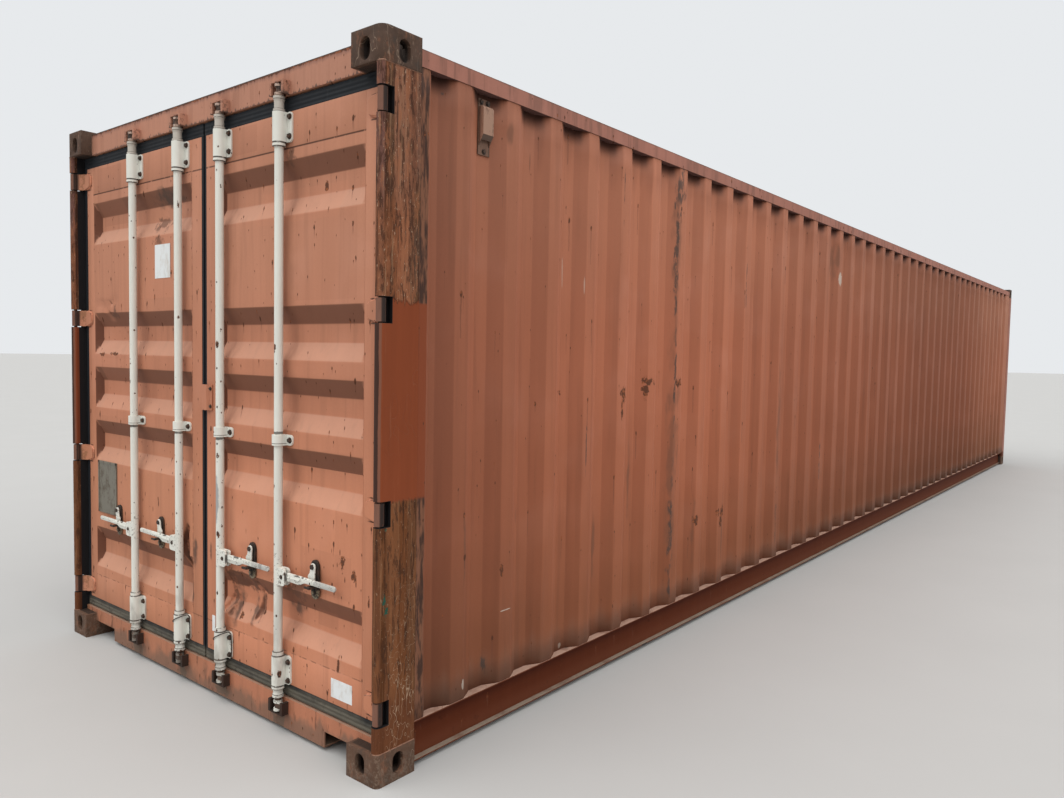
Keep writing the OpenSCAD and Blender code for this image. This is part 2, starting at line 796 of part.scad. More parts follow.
// Gasket: a rubber frame around the leaf that stops short of posts, header and sill
module door_gasket() {
  slab_y(door_y + gasket_inset, door_y + leaf_depth - 4) difference() {
    translate([gasket_play, gasket_bottom]) square([gasket_out - gasket_play, gasket_top - gasket_bottom]);
    translate([leaf_in, leaf_bottom]) square([leaf_out - leaf_in, leaf_top - leaf_bottom]);
  }
}

module door_gasket_right() {
  color(rubber) door_gasket();
}

module door_gasket_left() {
  color(rubber) mirror([1, 0, 0]) door_gasket();
}

// Hinge blades: a bored knuckle and a cranked strap that lies on the door face
module hinge_blade() {
  face = door_y - hinge_y;
  end = leaf_out - hinge_x - blade_length;
  difference() {
    intersection() {
      linear_extrude(2 * knuckle_half) {
        circle(r = knuckle_radius);
        polygon([[4, 6], [-10, 19.5], [-27, 32], [-45, face], [end, face],
          [end, face - blade_thick], [-50, face - blade_thick], [-33, 24], [-18, 12.5], [-14, 0]]);
      }
      slab_y(-nose_radius, face) translate([0, knuckle_half]) polygon([[nose_radius, -knuckle_half], [nose_radius, knuckle_half],
        [-50, knuckle_half], [end + 12, blade_end_half + 7], [end, blade_end_half], [end, -blade_end_half],
        [end + 12, -blade_end_half - 7], [-50, -knuckle_half]]);
    }
    translate([0, 0, -1]) cylinder(r = hinge_pin_radius + running_play, h = 2 * knuckle_half + 2);
  }
}

module hinge_blades() {
  for (z = hinge_levels) translate([hinge_x, hinge_y, z - knuckle_half]) hinge_blade();
}

module hinge_blades_right() {
  color(paint) hinge_blades();
}

module hinge_blades_left() {
  color(paint) mirror([1, 0, 0]) hinge_blades();
}

// Brackets that hold a rod: a flanged plate on the door and a housing around the rod, which may run on below it
module rod_housing(x, z0, z1, half) {
  r = rod_radius + bracket_wall;
  difference() {
    union() {
      slab_y(door_y - bracket_plate, door_y) translate([x, (z0 + z1) / 2]) rounded_plate(half, (z1 - z0) / 2);
      slab_z(z0, z1) {
        translate([x, rod_y]) circle(r = r);
        translate([x - r, rod_y]) square([2 * r, door_y - rod_y]);
      }
      slab_z(z0 - ring_gap, z0 + 1) translate([x, rod_y]) circle(r = r - 2);
      slab_z(z0 - ring_gap - ring_height, z0 - ring_gap) translate([x, rod_y]) circle(r = r);
    }
    translate([x, rod_y, z0 - ring_gap - ring_height - 1]) cylinder(r = rod_radius + running_play, h = z1 - z0 + 40);
  }
}

module middle_guide(x) {
  r = rod_radius + bracket_wall;
  z0 = guide_middle - guide_height / 2;
  difference() {
    union() {
      slab_y(door_y - bracket_plate, door_y) translate([x, guide_middle]) rounded_plate(guide_half, guide_height / 2);
      slab_z(z0, z0 + guide_height) {
        translate([x, rod_y]) circle(r = r);
        translate([x - r, rod_y]) square([2 * r, door_y - rod_y]);
      }
    }
    translate([x, rod_y, z0 - 1]) cylinder(r = rod_radius + running_play, h = guide_height + 2);
  }
}

module rod_brackets() {
  for (x = [rod_inner, rod_outer]) {
    rod_housing(x, bracket_top - upper_bracket, bracket_top, bracket_half);
    middle_guide(x);
    rod_housing(x, leaf_bottom, lower_top, bracket_half);
  }
}

module rod_brackets_right() {
  color(cream) rod_brackets();
}

module rod_brackets_left() {
  color(cream) mirror([1, 0, 0]) rod_brackets();
}

// Cam keepers on header and sill: two lugs with short lips, and a bar that closes the end away from the rod
module keeper() {
  lug_height = keeper_height - keeper_bar - keeper_seam;
  outer = keeper_half + keeper_lug;
  both_sides() slab_z(0, lug_height) {
    translate([keeper_half, -keeper_reach]) square([keeper_lug, keeper_reach]);
    translate([keeper_half - keeper_lip, -keeper_reach]) square([keeper_lip + 1, 8]);
  }
  slab_z(keeper_height - keeper_bar, keeper_height) translate([-outer, -keeper_reach]) square([2 * outer, keeper_reach]);
}

module cam_keepers() {
  color(cream) both_sides() for (x = [rod_inner, rod_outer]) {
    translate([x, header_y, keeper_top_z]) keeper();
    translate([x, header_y, keeper_bottom_z + keeper_height]) mirror([0, 0, 1]) keeper();
  }
}

// Handle hub: a strap bent over the handle, with both cheeks welded to the rod; the handle side is +X
module handle_hub() {
  front = handle_y - rod_y - 1;
  back = handle_y - rod_y + handle_thick + 1;
  for (y = [front - ear_thick, back]) slab_y(y, y + ear_thick) translate([0, handle_level]) intersection() {
    rounded_plate(cheek_reach, cheek_half);
    translate([0, -cheek_half]) square([cheek_reach, 2 * cheek_half]);
  }
  box(corner, cheek_reach - corner, front - 1, back + 1, handle_level + cheek_half - 7, handle_level + cheek_half);
  translate([handle_pin_offset, back + ear_thick + 2, handle_level]) rotate([90, 0, 0])
    cylinder(r = handle_pin_radius, h = back - front + 2 * ear_thick + 4);
}

// Cam: a finger between two discs
module cam(z) {
  slab_z(z, z + cam_height) circle(r = shaft_radius);
  for (d = [0, cam_height - cam_disc]) slab_z(z + d, z + d + cam_disc) circle(r = cam_radius);
  slab_z(z + cam_disc - 1, z + cam_height - cam_disc + 1) {
    translate([0, 1 - shaft_radius]) square([cam_reach - 8, 2 * shaft_radius - 3]);
    translate([cam_reach - 8, -2]) circle(r = 8);
  }
}

// Lock rod with cams, collars, the necks beyond the outer brackets and the handle hub

module lock_rod(x) {
  top_cam = keeper_top_z + keeper_height - cam_gap - cam_height;
  bottom_cam = keeper_bottom_z + cam_gap;
  neck_top = leaf_bottom - ring_gap - ring_height - 0.5;
  translate([x, rod_y, 0]) {
    slab_z(gasket_bottom, gasket_top) circle(r = rod_radius);
    slab_z(bottom_cam, gasket_bottom + 1) circle(r = shaft_radius);
    slab_z(gasket_top - 1, top_cam + 1) circle(r = shaft_radius);
    slab_z(bracket_top + 0.5, bracket_top + ring_height) circle(r = collar_radius);
    slab_z(bracket_top + ring_height - 1, gasket_top - 1) circle(r = rod_radius + 1.5);
    slab_z(gasket_top - ring_height, gasket_top) circle(r = collar_radius);
    cam(top_cam);
    cam(bottom_cam);
    slab_z(gasket_bottom, gasket_bottom + ring_height) circle(r = collar_radius);
    slab_z(gasket_bottom + 1, neck_top) circle(r = rod_radius + 1.5);
    slab_z(lower_top + 3, lower_top + 18) circle(r = collar_radius);
    handle_hub();
  }
}

module lock_rod_1() { color(cream) mirror([1, 0, 0]) lock_rod(rod_outer); }
module lock_rod_2() { color(cream) mirror([1, 0, 0]) lock_rod(rod_inner); }
module lock_rod_3() { color(cream) lock_rod(rod_inner); }
module lock_rod_4() { color(cream) lock_rod(rod_outer); }

// Handle: a flat bar, deep beside the hub and slim at the grip
module door_handle(x) {
  top = handle_level + handle_height / 2 + 3;
  eye = 12;
  translate([x, 0, 0]) slab_y(handle_y, handle_y + handle_thick) difference() {
    union() {
      translate([handle_pin_offset, handle_level]) circle(r = eye);
      polygon([[handle_pin_offset, handle_level - eye], [handle_pin_offset + 16, top - handle_height], [handle_step, top - handle_height],
        [handle_step + 24, top - grip_height], [handle_reach - grip_height / 2, top - grip_height],
        [handle_reach - grip_height / 2, top], [handle_pin_offset + 16, top], [handle_pin_offset, handle_level + eye]]);
      translate([handle_reach - grip_height / 2, top - grip_height / 2]) circle(d = grip_height);
    }
    translate([handle_pin_offset, handle_level]) circle(r = handle_pin_radius + running_play);
  }
}

module door_handle_1() { color(cream) mirror([1, 0, 0]) door_handle(rod_outer); }
module door_handle_2() { color(cream) mirror([1, 0, 0]) door_handle(rod_inner); }
module door_handle_3() { color(cream) door_handle(rod_inner); }
module door_handle_4() { color(cream) door_handle(rod_outer); }

// Retainer: a base plate with a bolted shelf under the handle and the bolt of its catch
module handle_retainer(x) {
  plate_y = door_y - retainer_plate;
  translate([x, 0, 0]) {
    slab_y(door_y - retainer_plate, door_y) translate([0, (retainer_bottom + retainer_top) / 2])
      upright_slot(retainer_width, retainer_top - retainer_bottom);
    slab_x(-16, 16) polygon([[plate_y, shelf_top - 8], [handle_y - 13, shelf_top - 8], [handle_y - 13, shelf_top],
      [handle_y - 7, shelf_top], [handle_y - 7, shelf_top - 3], [plate_y, shelf_top - 3]]);
    slab_y(plate_y - 4, plate_y) {
      translate([0, ledge_level]) circle(r = 16);
      translate([-16, ledge_level]) square([32, shelf_top - 3 - ledge_level]);
    }
    translate([0, plate_y - 4, ledge_level]) rotate([90, 0, 0]) {
      cylinder(r = 12, h = 2);
      cylinder(r = 7, h = 7, $fn = 6);
    }
    translate([0, plate_y, catch_level]) rotate([90, 0, 0]) {
      cylinder(r = catch_bolt_radius, h = 5 + catch_thick + 1);
      cylinder(r = catch_bolt_radius + 5, h = 4);
      translate([0, 0, 5 + catch_thick + 1]) cylinder(r = catch_bolt_radius + 4, h = 5, $fn = 6);
    }
  }
}

module handle_retainers() {
  for (x = [rod_inner, rod_outer]) handle_retainer(x + retainer_offset);
}

module handle_retainers_right() {
  color(iron) handle_retainers();
}

module handle_retainers_left() {
  color(iron) mirror([1, 0, 0]) handle_retainers();
}

// Catch: a short lug that hangs from the bolt
module handle_catch(x) {
  lug = 44;
  translate([x + retainer_offset, 0, catch_level]) slab_y(catch_y, catch_y + catch_thick) difference() {
    union() {
      circle(r = 14);
      translate([-12, -lug]) square([24, lug]);
      translate([0, -lug]) circle(r = 12);
    }
    circle(r = catch_bolt_radius + running_play);
  }
}

module handle_catch_1() { color(cream) mirror([1, 0, 0]) handle_catch(rod_outer); }
module handle_catch_2() { color(cream) mirror([1, 0, 0]) handle_catch(rod_inner); }
module handle_catch_3() { color(cream) handle_catch(rod_inner); }
module handle_catch_4() { color(cream) handle_catch(rod_outer); }

// Lock plate: a cranked plate on the centre stile of the right-hand leaf
module lock_plate() {
  x1 = 4 + lock_plate_width;
  color(paint) slab_z(lock_plate_level - lock_plate_height / 2, lock_plate_level + lock_plate_height / 2)
    polygon([[4, door_y - 16], [x1 - 28, door_y - 16], [x1 - 18, door_y - 6], [x1, door_y - 6], [x1, door_y],
      [x1 - 20, door_y], [x1 - 30, door_y - 10], [4, door_y - 10]]);
}

rear_post_right();
rear_post_left();
front_posts();
door_header();
door_sill();
bottom_corner_fittings();
top_corner_fittings();
top_side_rails();
bottom_side_rails();
front_top_rail();
front_sill();
side_wall_right();
side_wall_left();
front_wall();
roof_panel();
roof_end_plates();
cross_members();
gooseneck_tunnel();
floor_boards();
wall_vents();
hinge_pins();
cam_keepers();
door_leaf_right();
door_leaf_left();
door_gasket_right();
door_gasket_left();
hinge_blades_right();
hinge_blades_left();
rod_brackets_right();
rod_brackets_left();
handle_retainers_right();
handle_retainers_left();
lock_plate();
lock_rod_1();
lock_rod_2();
lock_rod_3();
lock_rod_4();
door_handle_1();
door_handle_2();
door_handle_3();
door_handle_4();
handle_catch_1();
handle_catch_2();
handle_catch_3();
handle_catch_4();
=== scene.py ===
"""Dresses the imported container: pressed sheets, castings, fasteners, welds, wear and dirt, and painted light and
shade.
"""

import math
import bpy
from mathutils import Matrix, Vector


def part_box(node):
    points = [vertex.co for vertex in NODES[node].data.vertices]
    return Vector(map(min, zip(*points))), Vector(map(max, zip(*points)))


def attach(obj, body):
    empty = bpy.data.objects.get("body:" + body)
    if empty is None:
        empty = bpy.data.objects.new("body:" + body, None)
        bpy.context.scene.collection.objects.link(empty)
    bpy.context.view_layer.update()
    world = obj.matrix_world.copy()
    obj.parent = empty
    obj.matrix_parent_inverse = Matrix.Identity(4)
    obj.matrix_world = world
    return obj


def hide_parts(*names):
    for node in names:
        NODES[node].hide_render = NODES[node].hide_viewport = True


bl_info = {
    "name": "Weathered Shipping Container",
    "version": (1, 0, 0),
    "blender": (4, 5, 0),
    "location": "View3D > Sidebar > Container",
    "description": "Sheets, castings, fasteners, welds, paint and wear for the packed container",
    "category": "Object",
}

import bmesh
import bpy
import numpy as np
from bpy.props import FloatProperty, FloatVectorProperty, IntProperty, PointerProperty
from mathutils import Matrix, Vector, noise

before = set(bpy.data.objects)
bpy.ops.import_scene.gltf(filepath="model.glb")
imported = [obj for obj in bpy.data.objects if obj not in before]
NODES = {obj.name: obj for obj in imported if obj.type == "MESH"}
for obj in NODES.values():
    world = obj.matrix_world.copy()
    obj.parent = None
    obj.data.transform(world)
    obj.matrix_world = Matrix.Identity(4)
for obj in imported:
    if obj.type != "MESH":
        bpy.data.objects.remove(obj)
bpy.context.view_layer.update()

# Places that the frame gives, in metres
FITTING_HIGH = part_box("bottom_corner_fittings")[1]
HALF_WIDTH = FITTING_HIGH.x
HALF_LENGTH = FITTING_HIGH.y
FITTING_TOP = FITTING_HIGH.z
TOP_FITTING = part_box("top_corner_fittings")[0].z
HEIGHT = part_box("top_corner_fittings")[1].z
WALL_LOW, WALL_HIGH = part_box("side_wall_right")
LEAF_LOW, LEAF_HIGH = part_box("door_leaf_right")
DOOR_Y = LEAF_LOW.y
HEADER_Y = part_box("door_header")[0].y
ROD_Y = -6.062
RODS = {1: -0.590, 2: -0.170, 3: 0.170, 4: 0.590}
RECESSES = (0.474, 1.028, 1.302, 1.576, 2.130)
HINGES = (0.257, 0.955, 1.653, 2.351)
HINGE_X, HINGE_Y = 1.196, -6.074
# half height of the hinge slots in the posts
SLOT = 0.045
# handle pin and catch bolt, from the middle of the rod
PIN, BOLT = 0.040, 0.207
# bolts of the upper and lower rod brackets, and the middle guides
BRACKET_BOLTS, GUIDE = (2.320, 2.394, 0.212, 0.286), 1.162
# edges of the pressed sheet in a leaf
SHEET_IN, SHEET_LOW, SHEET_HIGH = 0.100, 0.323, 2.279
# between these levels the posts have fresh paint
FRESH_LOW, FRESH_HIGH = 0.985, 1.678
# front edge of the right-hand wall's first flat
FIRST_FLAT = -5.876


def side_of(x):
    """1 on the right-hand side and -1 on the left-hand side."""
    return 1 if x > 0 else -1


def door_of(x):
    """The body of the door leaf that a place belongs to."""
    return "door_right" if x > 0 else "door_left"


# Sizes and colours that a user would change


def length(name, default, low=0.0, text=""):
    return FloatProperty(name=name, description=text or name, default=default, min=low, unit="LENGTH", precision=4)


def colour(name, default):
    return FloatVectorProperty(name=name, description=f"{name}, linear", default=default, size=3, min=0, max=1,
        subtype="COLOR")


class ContainerPaint(bpy.types.PropertyGroup):
    """Colours of the finishes."""

    door: colour("Door paint", (0.458, 0.183, 0.106))
    side: colour("Side paint", (0.345, 0.117, 0.062))
    rail: colour("Rail paint", (0.345, 0.147, 0.106))
    base: colour("Bottom rail paint", (0.120, 0.036, 0.018))
    post: colour("Fresh post paint", (0.205, 0.047, 0.016))
    gear: colour("Lock gear paint", (0.700, 0.695, 0.630))
    casting: colour("Corner castings", (0.110, 0.058, 0.036))
    rust: colour("Old rust", (0.075, 0.028, 0.015))
    fresh_rust: colour("Orange rust", (0.260, 0.080, 0.030))
    dust: colour("Road dust", (0.350, 0.265, 0.200))
    # grime colour, also used for painted shade beside the folds of the door sheet
    grime_and_shade: colour("Grime", (0.050, 0.040, 0.034))
    rubber: colour("Gasket rubber", (0.012, 0.014, 0.017))
    inside: colour("Inner paint", (0.440, 0.430, 0.400))
    wood: colour("Plywood", (0.330, 0.190, 0.100))


class ContainerSheets(bpy.types.PropertyGroup):
    """Sizes of the pressed sheets."""

    pitch: length("Corrugation pitch", 0.278, 0.1)
    depth: length("Corrugation depth", 0.036, 0.01)
    inner_flat: length("Inner flat", 0.070, 0.01)
    slope: length("Slope width", 0.068, 0.01)
    sheet: length("Sheet thickness", 0.0016, 0.0005)
    wave: length("Waviness of the sheets", 0.0022)
    recess_depth: length("Door recess depth", 0.036, 0.01)
    bend: length("Bend radius", 0.012, 0.001)
    columns: IntProperty(name="Columns in a pitch", description="Mesh columns in one corrugation", default=40, min=12,
        max=80)


class ContainerGear(bpy.types.PropertyGroup):
    """Sizes of fasteners, welds and castings."""

    bolt: length("Bolt head across corners", 0.017, 0.005)
    bolt_height: length("Bolt head height", 0.008, 0.001)
    rivet: length("Rivet head diameter", 0.012, 0.002)
    weld: length("Weld bead radius", 0.0035, 0.0005)
    casting_edge: length("Edge rounding of the castings", 0.006, 0.0005)
    wire: length("Wire diameter", 0.0045, 0.001)


class ContainerStage(bpy.types.PropertyGroup):
    """Floor, light and camera."""

    floor: colour("Floor", (0.43, 0.425, 0.415))
    sky: FloatProperty(name="Sky strength", description="Strength of the sky light overhead", default=0.95, min=0)
    key: FloatProperty(name="Key light strength", description="Strength of the soft light on the doors", default=1.75,
        min=0)
    fill: FloatProperty(name="Fill light strength", description="Strength of the soft light on the side",
        default=1.55, min=0)
    camera_place: FloatVectorProperty(name="Camera place", description="Where the camera stands",
        default=(3.3299, -7.9093, 1.5142), size=3, subtype="TRANSLATION", unit="LENGTH")
    camera_turn: FloatVectorProperty(name="Camera angles", description="Azimuth, downward tilt and roll",
        default=(math.radians(38.7446), math.radians(3.1687), math.radians(1.0981)), size=3, subtype="EULER")
    lens: FloatProperty(name="Focal length", description="Focal length in millimetres on a 36 mm frame",
        default=27.637, min=1)


def settings(name):
    return getattr(bpy.context.scene, name)


# Shader and geometry nodes


class Nodes:
    """Adds nodes to a tree; an input may be a socket or a plain value."""

    def node(self, kind, *inputs, **options):
        made = self.tree.nodes.new(kind)
        for key, value in options.items():
            setattr(made, key, value)
        for socket, value in zip(made.inputs, inputs):
            self.feed(socket, value)
        return made

    def feed(self, socket, value):
        if isinstance(value, bpy.types.NodeSocket):
            self.tree.links.new(value, socket)
        elif value is not None:
            socket.default_value = value

    def math(self, operation, a, b=None, c=None):
        return self.node("ShaderNodeMath", a, b, c, operation=operation).outputs[0]

    def sum(self, first, *more):
        for value in more:
            first = self.math("ADD", first, value)
        return first

    def product(self, first, *more):
        for value in more:
            first = self.math("MULTIPLY", first, value)
        return first

    def most(self, first, *more):
        for value in more:
            first = self.math("MAXIMUM", first, value)
        return first

    def ramp(self, value, low, high, start=0.0, end=1.0):
        """Smooth step from start at low to end at high."""
        return self.node("ShaderNodeMapRange", value, low, high, start, end,
            interpolation_type="SMOOTHSTEP").outputs[0]

    def band(self, value, low, high, soft):
        """1 between low and high, with soft ends."""
        return self.product(self.ramp(value, low - soft, low), self.ramp(value, high, high + soft, 1.0, 0.0))


class Finish(Nodes):
    """A procedural material on object coordinates, in metres."""

    def __init__(self, name, rough=0.6, metal=0.0, specular=0.35):
        self.material = bpy.data.materials.new(name)
        self.material.use_nodes = True
        self.tree = self.material.node_tree
        self.tree.nodes.clear()
        self.shader = self.node("ShaderNodeBsdfPrincipled")
        self.node("ShaderNodeOutputMaterial", self.shader.outputs[0])
        self.feed(self.shader.inputs["Metallic"], metal)
        self.feed(self.shader.inputs["Specular IOR Level"], specular)
        self.feed(self.shader.inputs["Roughness"], rough)
        place = self.node("ShaderNodeTexCoord")
        self.place = place.outputs["Object"]
        self.x, self.y, self.z = self.node("ShaderNodeSeparateXYZ", self.place).outputs
        self.face_x, self.face_y, self.face_z = self.node("ShaderNodeSeparateXYZ", place.outputs["Normal"]).outputs

    def at(self, stretch=(1, 1, 1), shift=0.0):
        if isinstance(shift, (int, float)):
            shift = (shift, shift * 1.7, shift * 0.6)
        return self.node("ShaderNodeVectorMath", self.place, stretch, shift, operation="MULTIPLY_ADD").outputs[0]

    def noise(self, scale, detail=3, stretch=(1, 1, 1), shift=0.0, rough=0.55):
        made = self.node("ShaderNodeTexNoise", self.at(stretch, shift), None, scale, detail, rough)
        return made.outputs[0]

    def cells(self, scale, stretch=(1, 1, 1), shift=0.0):
        """Distance from the nearest cell point, and two random numbers of that cell."""
        made = self.node("ShaderNodeTexVoronoi", self.at(stretch, shift), None, scale)
        chance = self.node("ShaderNodeSeparateXYZ", made.outputs["Color"]).outputs
        return made.outputs["Distance"], chance[0], chance[1]

    def spots(self, scale, size, share, stretch=(1, 1, 1), shift=0.0, ragged=0.5):
        """Ragged spots in a share of the cells, each with its own size."""
        distance, chance, random = self.cells(scale, stretch, shift)
        edge = self.product(self.math("SUBTRACT", self.noise(scale * 4, 3, stretch, shift + 5), 0.5), ragged)
        reach = self.product(self.ramp(chance, 1 - share, 1.0, 0.0, size), self.sum(random, 0.4))
        return self.ramp(self.math("SUBTRACT", reach, self.sum(distance, self.product(edge, size))), 0.0, size * 0.25)

    def marks(self, places, ragged=0.5, scale=30, soft=0.25, stretch=(1, 1, 1)):
        """Ragged marks, each given by its middle and its half sizes; a half size of 0 means any."""
        nearest = None
        for middle, half in places:
            by = [1 / h if h else 0 for h in half]
            moved = self.node("ShaderNodeVectorMath", self.place, by, [-m * b for m, b in zip(middle, by)],
                operation="MULTIPLY_ADD").outputs[0]
            reach = self.node("ShaderNodeVectorMath", moved, operation="LENGTH").outputs["Value"]
            nearest = reach if nearest is None else self.math("MINIMUM", nearest, reach)
        edge = self.product(self.math("SUBTRACT", self.noise(scale, 2, stretch, 2.0), 0.5), ragged * 2)
        return self.ramp(self.math("SUBTRACT", self.sum(1.0, edge), nearest), 0.0, soft)

    def flat(self, shift=0.0):
        """Coordinates on upright sheets: along the sheet and up."""
        return self.node("ShaderNodeCombineXYZ", self.sum(self.x, self.product(self.y, 0.93), shift), self.z,
            0.0).outputs[0]

    def drips(self, scale, share, size, tail, shift=0.0):
        """Small ragged spots, each with a thin run below it, on upright sheets."""
        here = self.flat(shift)
        cell = self.node("ShaderNodeTexVoronoi", here, None, scale, voronoi_dimensions="2D")
        off = self.node("ShaderNodeVectorMath", here, cell.outputs["Position"], operation="SUBTRACT").outputs[0]
        along, up, _ = self.node("ShaderNodeSeparateXYZ", off).outputs
        chance, random, _ = self.node("ShaderNodeSeparateXYZ", cell.outputs["Color"]).outputs
        wobble = self.math("SUBTRACT", self.noise(55, 3, (1, 1, 0.5), shift + 2, 0.7), 0.5)
        along = self.math("ABSOLUTE", self.sum(along, self.product(wobble, size * 2.2)))
        reach = self.product(self.sum(random, 0.35), size)
        tall = self.math("DIVIDE", self.math("ABSOLUTE", self.sum(up, self.product(wobble, size * 4))),
            self.product(reach, 2.2))
        wide = self.math("DIVIDE", along, reach)
        core = self.ramp(self.sum(self.product(wide, wide), self.product(tall, tall)), 0.5, 1.1, 1.0, 0.0)
        down = self.math("DIVIDE", self.product(up, -1.0), self.product(self.sum(random, 0.2), tail))
        run = self.product(self.ramp(wide, 0.15, 0.75, 1.0, 0.0), self.ramp(down, -0.02, 0.02),
            self.ramp(down, 0.25, 1.0, 1.0, 0.0))
        here = self.math("GREATER_THAN", chance, 1 - share)
        return self.product(core, here), self.product(run, here)

    def patch(self, low, high, soft=0.002, axis="x"):
        """1 inside an upright rectangle given by two corners."""
        return self.product(self.band(getattr(self, axis), low[0], high[0], soft),
            self.band(self.z, low[1], high[1], soft))

    def seam(self, value, at, width, dashes=0.5):
        """A thin broken line where a value meets a level."""
        near = self.ramp(self.math("ABSOLUTE", self.math("SUBTRACT", value, at)), width * 0.5, width, 1.0, 0.0)
        return self.product(near, self.ramp(self.noise(38, 3, (1, 1, 1), at * 7), dashes - 0.06, dashes + 0.06))

    def scratches(self, stretch, width=0.012, share=0.6, shift=0.0):
        """Thin lines along the contours of a stretched noise, in a share of the surface."""
        line = self.math("ABSOLUTE", self.math("SUBTRACT", self.noise(1.0, 1, stretch, shift), 0.5))
        where = self.ramp(self.noise(3.0, 2, (1, 1, 1), shift + 9), share, share + 0.08)
        return self.product(self.ramp(line, 0.0, width, 1.0, 0.0), where)

    def mix(self, share, a, b, blend="MIX"):
        made = self.tree.nodes.new("ShaderNodeMix")
        made.data_type = "RGBA"
        made.blend_type = blend
        self.feed(made.inputs[0], share)
        for socket, value in ((made.inputs[6], a), (made.inputs[7], b)):
            self.feed(socket, value if isinstance(value, bpy.types.NodeSocket) else (*value, 1.0))
        return made.outputs[2]

    def steps(self, value, stops):
        """A colour that changes evenly from one stop to the next."""
        made = stops[0][1]
        for (low, _), (high, tint) in zip(stops, stops[1:]):
            made = self.mix(self.ramp(value, low, high), made, tint)
        return made

    def profile(self, value, stops):
        """The same from plain colours only, in one ramp."""
        low, high = stops[0][0], stops[-1][0]
        made = self.node("ShaderNodeValToRGB", self.math("DIVIDE", self.math("SUBTRACT", value, low), high - low))
        band = made.color_ramp
        band.interpolation = "EASE"
        while len(band.elements) < len(stops):
            band.elements.new(0.5)
        for element, (at, tint) in zip(band.elements, stops):
            element.position = (at - low) / (high - low)
            element.color = (*tint, 1.0)
        return made.outputs[0]

    def shade(self, base, amount, value):
        """The base made darker or lighter by a value that lies around 0.5."""
        factor = self.sum(1 - amount, self.product(value, 2 * amount))
        grey = self.node("ShaderNodeCombineXYZ", factor, factor, factor).outputs[0]
        return self.mix(1.0, base, grey, "MULTIPLY")

    def finish(self, base, rough=None, height=None, metal=None, depth=0.002):
        self.feed(self.shader.inputs["Base Color"], base)
        if rough is not None:
            self.feed(self.shader.inputs["Roughness"], rough)
        if metal is not None:
            self.feed(self.shader.inputs["Metallic"], metal)
        if height is not None:
            bump = self.tree.nodes.new("ShaderNodeBump")
            bump.inputs["Strength"].default_value = 1.0
            bump.inputs["Distance"].default_value = depth
            self.feed(bump.inputs["Height"], height)
            self.feed(self.shader.inputs["Normal"], bump.outputs[0])
        return self.material


class Shape(Nodes):
    """A geometry tree with named inputs."""

    KINDS = {float: "NodeSocketFloat", int: "NodeSocketInt", bpy.types.Material: "NodeSocketMaterial"}

    def __init__(self, name, **inputs):
        self.tree = bpy.data.node_groups.new(name, "GeometryNodeTree")
        self.tree.interface.new_socket("Geometry", in_out="INPUT", socket_type="NodeSocketGeometry")
        self.values = {}
        for key, value in inputs.items():
            made = self.tree.interface.new_socket(key, in_out="INPUT", socket_type=self.KINDS[type(value)])
            if not isinstance(value, bpy.types.Material):
                made.default_value = value
            self.values[key] = (made.identifier, value)
        self.tree.interface.new_socket("Geometry", in_out="OUTPUT", socket_type="NodeSocketGeometry")
        start = self.tree.nodes.new("NodeGroupInput")
        self.source = start.outputs["Geometry"]
        self.input = {key: start.outputs[key] for key in inputs}

    def end(self, geometry, material):
        realized = self.node("GeometryNodeRealizeInstances", geometry)
        painted = self.node("GeometryNodeSetMaterial", realized.outputs[0])
        self.feed(painted.inputs["Material"], material)
        self.node("NodeGroupOutput", painted.outputs[0])
        return self

    def make(self, name, mesh, smooth=True):
        """Runs the tree on a mesh and returns the result as a plain object."""
        carrier = bpy.data.objects.new(name + "_carrier", mesh)
        bpy.context.scene.collection.objects.link(carrier)
        modifier = carrier.modifiers.new("shape", "NODES")
        modifier.node_group = self.tree
        for identifier, value in self.values.values():
            modifier[identifier] = value
        result = bpy.data.meshes.new_from_object(carrier.evaluated_get(bpy.context.evaluated_depsgraph_get()))
        bpy.data.objects.remove(carrier)
        made = bpy.data.objects.new(name, result)
        bpy.context.scene.collection.objects.link(made)
        result.polygons.foreach_set("use_smooth", [smooth] * len(result.polygons))
        if not result.polygons:
            raise RuntimeError(f"{name} came out empty")
        return made


# Mesh helpers


def piece(name, mesh, material, body, slot, *replaced, smooth=False):
    """Links a finished mesh as a piece that rides on a body."""
    made = mesh if isinstance(mesh, bpy.types.Object) else bpy.data.objects.new(name, mesh)
    if made is not mesh:
        bpy.context.scene.collection.objects.link(made)
    if material:
        made.data.materials.clear()
        made.data.materials.append(material)
    if smooth:
        made.data.polygons.foreach_set("use_smooth", [True] * len(made.data.polygons))
    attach(made, body)
    if replaced:
        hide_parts(*replaced)
    return made


def settle(made, angle=None):
    """Replaces an object's mesh by its evaluated one, so no modifier is left; optionally smooth under an angle."""
    result = bpy.data.meshes.new_from_object(made.evaluated_get(bpy.context.evaluated_depsgraph_get()))
    made.modifiers.clear()
    made.data = result
    if angle is not None:
        result.polygons.foreach_set("use_smooth", [True] * len(result.polygons))
        result.set_sharp_from_angle(angle=math.radians(angle))
    return made


def from_bmesh(name, mesh):
    data = bpy.data.meshes.new(name)
    mesh.normal_update()
    mesh.to_mesh(data)
    mesh.free()
    return data


def add_box(mesh, low, high, bevel=0.0):
    """A box with rounded edges, added to a bmesh."""
    made = bmesh.ops.create_cube(mesh, size=1.0)["verts"]
    for v in made:
        v.co = Vector([(l + h) / 2 + c * (h - l) for l, h, c in zip(low, high, v.co)])
    if bevel:
        edges = list({e for v in made for e in v.link_edges})
        bmesh.ops.bevel(mesh, geom=edges, offset=bevel, segments=2, profile=0.5, affect="EDGES", clamp_overlap=True)


